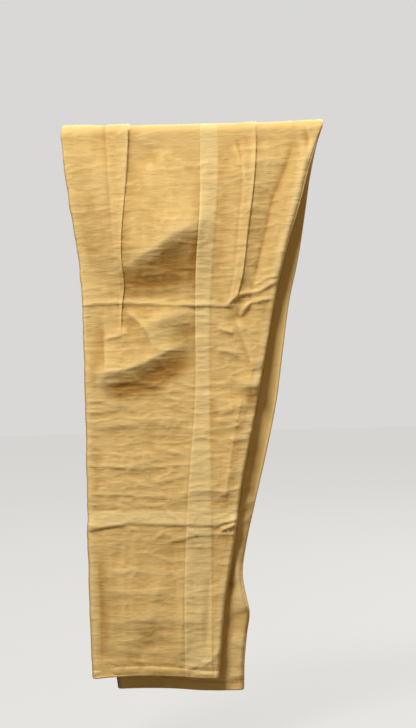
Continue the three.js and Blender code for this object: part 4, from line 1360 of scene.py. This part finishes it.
class TROUSERS_OT_stitching(bpy.types.Operator):
    """Sew the hems, the waistband and the belt loops"""
    bl_idname = "trousers.stitching"
    bl_label = "Stitching"

    def execute(self, context):
        def across(x0, x1, z_of, step=1.5):
            n = max(2, round((x1 - x0) / step))
            return [(x, float(z_of(x))) for x in np.linspace(x0, x1, n)]

        def hem_places(end, side_line, inseam, z, inset):
            return across(float(side_line(z)) + 2, float(inseam(z)) - inset,
                          lambda x: hem_stitch(end, x) + hem_drop(x, -end + 12, end))

        def fronts(side):
            return [f"{side}_front_outer_panel", f"{side}_front_inner_panel"]

        places = hem_places(RIGHT_END, RIGHT_SIDE, RIGHT_INSEAM, -640, 1.5)
        sew("right_hem_stitches", [on_surface(fronts("right"), places, -1)], "right_leg")
        places = hem_places(LEFT_END, LEFT_OUTSEAM, LEFT_INSEAM, -656, 2)
        sew("left_hem_stitches", [on_surface(fronts("left"), places, 1),
                                  on_surface(["left_back_panel"], places, -1)], "left_leg")
        sew("waistband_stitches",
            [on_surface(["right_band_front"], across(-136, front_line(z) - 2, level(z)), 1)
             for z in (-BAND_TOP - 2.2, -TRUNK_END + 2.2)], "trunk")
        loops = []
        for where in ("side", "front"):       # the left side's loops face the bundle
            lo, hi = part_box(f"right_belt_loop_{where}")
            for x in (lo.x / MM + 1.4, hi.x / MM - 1.4):
                rows = [(x, z) for z in np.linspace(lo.z / MM + 1, hi.z / MM - 1, 20)]
                loops.append(on_surface([f"right_{where}_loop"], rows, 1, 0.1))
        sew("loop_stitches", loops, "trunk", 0.0028)
        return {"FINISHED"}


# ------------------------------------------------------------------ stage
def area_light(name, place, aim, size, power, colour):
    data = bpy.data.lights.new(name, "AREA")
    data.shape, data.size, data.size_y = "RECTANGLE", size, size
    data.energy, data.color = power, colour
    obj = bpy.data.objects.new(name, data)
    bpy.context.scene.collection.objects.link(obj)
    obj.location = place
    obj.rotation_euler = (Vector(aim) - Vector(place)).to_track_quat("-Z", "Y").to_euler()


def pale_floor(tree, shader):
    """A floor that the camera sees as evenly pale, while it reflects little light."""
    seen = node(tree, "ShaderNodeLightPath").outputs["Is Camera Ray"]
    tint = noise(tree, object_place(tree), (0.003, 0.003, 0.003))
    feed(tree, shader, {"Roughness": 0.9, "Specular IOR Level": 0.1,
                        "Base Color": mix(tree, "MIX", tint, linear(72, 71, 70),
                                          linear(76, 75, 74)),
                        "Emission Color": SURROUND,
                        "Emission Strength": math_node(tree, "MULTIPLY", seen, 0.95)})


# name, place, what it aims at, side in metres, share of the key light's power and colour
LIGHTS = (("key", (-0.95, -1.35, 2.2), (0, 0, -0.4), 0.75, 1.0, (1.0, 0.98, 0.93)),
          ("back", (1.6, 1.3, 1.3), (0, 0, -0.3), 0.8, 0.8, (1.0, 0.98, 0.93)),
          ("fill", (1.3, -1.8, -0.9), (0, 0, -0.4), 1.4, 0.16, (1.0, 0.76, 0.42)))
SURROUND = linear(217, 216, 214)
FLOOR_DROP = 0.075              # metres from the lower hem to the floor
CAMERA_PLACE, CAMERA_TILT, CAMERA_LENS = (0.0116, -1.5, -0.2787), 1.4, 61.0


class TROUSERS_OT_stage(bpy.types.Operator):
    """Make the floor, the lights, the surroundings and the camera"""
    bl_idname = "trousers.stage"
    bl_label = "Stage"

    def execute(self, context):
        s = context.scene.trousers
        bm = bmesh.new()
        bmesh.ops.create_grid(bm, x_segments=24, y_segments=24, size=7.0)
        bmesh.ops.translate(bm, verts=bm.verts, vec=(0, 0, CAD_BOX[0].z - FLOOR_DROP))
        mesh = bpy.data.meshes.new("floor")
        bm.to_mesh(mesh)
        bm.free()
        floor = bpy.data.objects.new("floor", mesh)
        context.scene.collection.objects.link(floor)
        mesh.materials.append(material_of("Pale floor", pale_floor))

        world = bpy.data.worlds.new("Studio")
        context.scene.world = world
        world.use_nodes = True
        tree = world.node_tree
        back = tree.nodes["Background"]
        feed(tree, back.inputs, {"Color": (1.0, 0.70, 0.27, 1), "Strength": s.ambient})
        seen = node(tree, "ShaderNodeBackground", {"Color": SURROUND})
        path = node(tree, "ShaderNodeLightPath")
        pick = node(tree, "ShaderNodeMixShader", {
            0: path.outputs["Is Camera Ray"], 1: back.outputs[0], 2: seen.outputs[0]})
        tree.links.new(pick.outputs[0], tree.nodes["World Output"].inputs[0])

        for name, place, aim, size, share, colour in LIGHTS:
            area_light(name, place, aim, size, s.key_power * share, colour)

        tilt = math.radians(CAMERA_TILT)
        data = bpy.data.cameras.new("camera")
        data.sensor_width, data.sensor_fit = 36.0, "AUTO"
        data.lens, data.clip_end = CAMERA_LENS, 30.0
        cam = bpy.data.objects.new("camera", data)
        context.scene.collection.objects.link(cam)
        turn = Matrix(((math.cos(tilt), math.sin(tilt), 0), (0, 0, -1),
                       (-math.sin(tilt), math.cos(tilt), 0)))
        cam.matrix_world = Matrix.Translation(CAMERA_PLACE) @ turn.to_4x4()
        context.scene.camera = cam
        context.scene.view_settings.view_transform = "Standard"
        return {"FINISHED"}


class TrousersSettings(bpy.types.PropertyGroup):
    """Sizes and colours of the trousers and their stage"""
    fold_depth: FloatProperty(name="Fold depth", default=1.1, min=0.0, max=1.5,
                              description="How deep the folds are, as a share of their own depth")
    cotton_colour: FloatVectorProperty(name="Cotton", subtype="COLOR", size=3, min=0, max=1,
                                       default=linear(225, 191, 124)[:3],
                                       description="Colour of flat cloth")
    # painted shade: the colour mixed into the cloth in hollows and under folds
    fold_shade_colour: FloatVectorProperty(name="Painted fold shade", subtype="COLOR", size=3, min=0,
                                     max=1, default=linear(166, 114, 20)[:3],
                                     description="Colour deep in the folds")
    # painted highlight on crests and lit bands, and the paler colour of doubled cloth
    crest_highlight_colour: FloatVectorProperty(name="Painted crest highlight and doubled cloth", subtype="COLOR", size=3, min=0,
                                      max=1, default=linear(243, 222, 166)[:3],
                                      description="Colour on crests and doubled cloth")
    key_power: FloatProperty(name="Key light", default=116.0, min=0.0, unit="POWER",
                             description="Power of the main light")
    ambient: FloatProperty(name="Ambient", default=0.11, min=0.0, max=2.0,
                           description="Strength of the light from all round")


class TROUSERS_PT_build(bpy.types.Panel):
    """Lists the pieces of the trousers"""
    bl_idname = "TROUSERS_PT_build"
    bl_label = "Pleated trousers"
    bl_space_type = "VIEW_3D"
    bl_region_type = "UI"
    bl_category = "Trousers"

    def draw(self, context):
        for key in TrousersSettings.__annotations__:
            self.layout.prop(context.scene.trousers, key)
        for made in OPERATORS:
            self.layout.operator(made.bl_idname)


OPERATORS = (TROUSERS_OT_front_panels, TROUSERS_OT_back_panels, TROUSERS_OT_seams,
             TROUSERS_OT_hems, TROUSERS_OT_waistband, TROUSERS_OT_belt_loops,
             TROUSERS_OT_inner_trim, TROUSERS_OT_zip, TROUSERS_OT_stitching,
             TROUSERS_OT_stage)
CLASSES = (TrousersSettings,) + OPERATORS + (TROUSERS_PT_build,)


def register():
    for made in CLASSES:
        bpy.utils.register_class(made)
    bpy.types.Scene.trousers = PointerProperty(type=TrousersSettings)


def unregister():
    del bpy.types.Scene.trousers
    for made in reversed(CLASSES):
        bpy.utils.unregister_class(made)


def main():
    register()
    for made in OPERATORS:
        area, name = made.bl_idname.split(".")
        getattr(getattr(bpy.ops, area), name)()


if __name__ == "__main__":
    main()
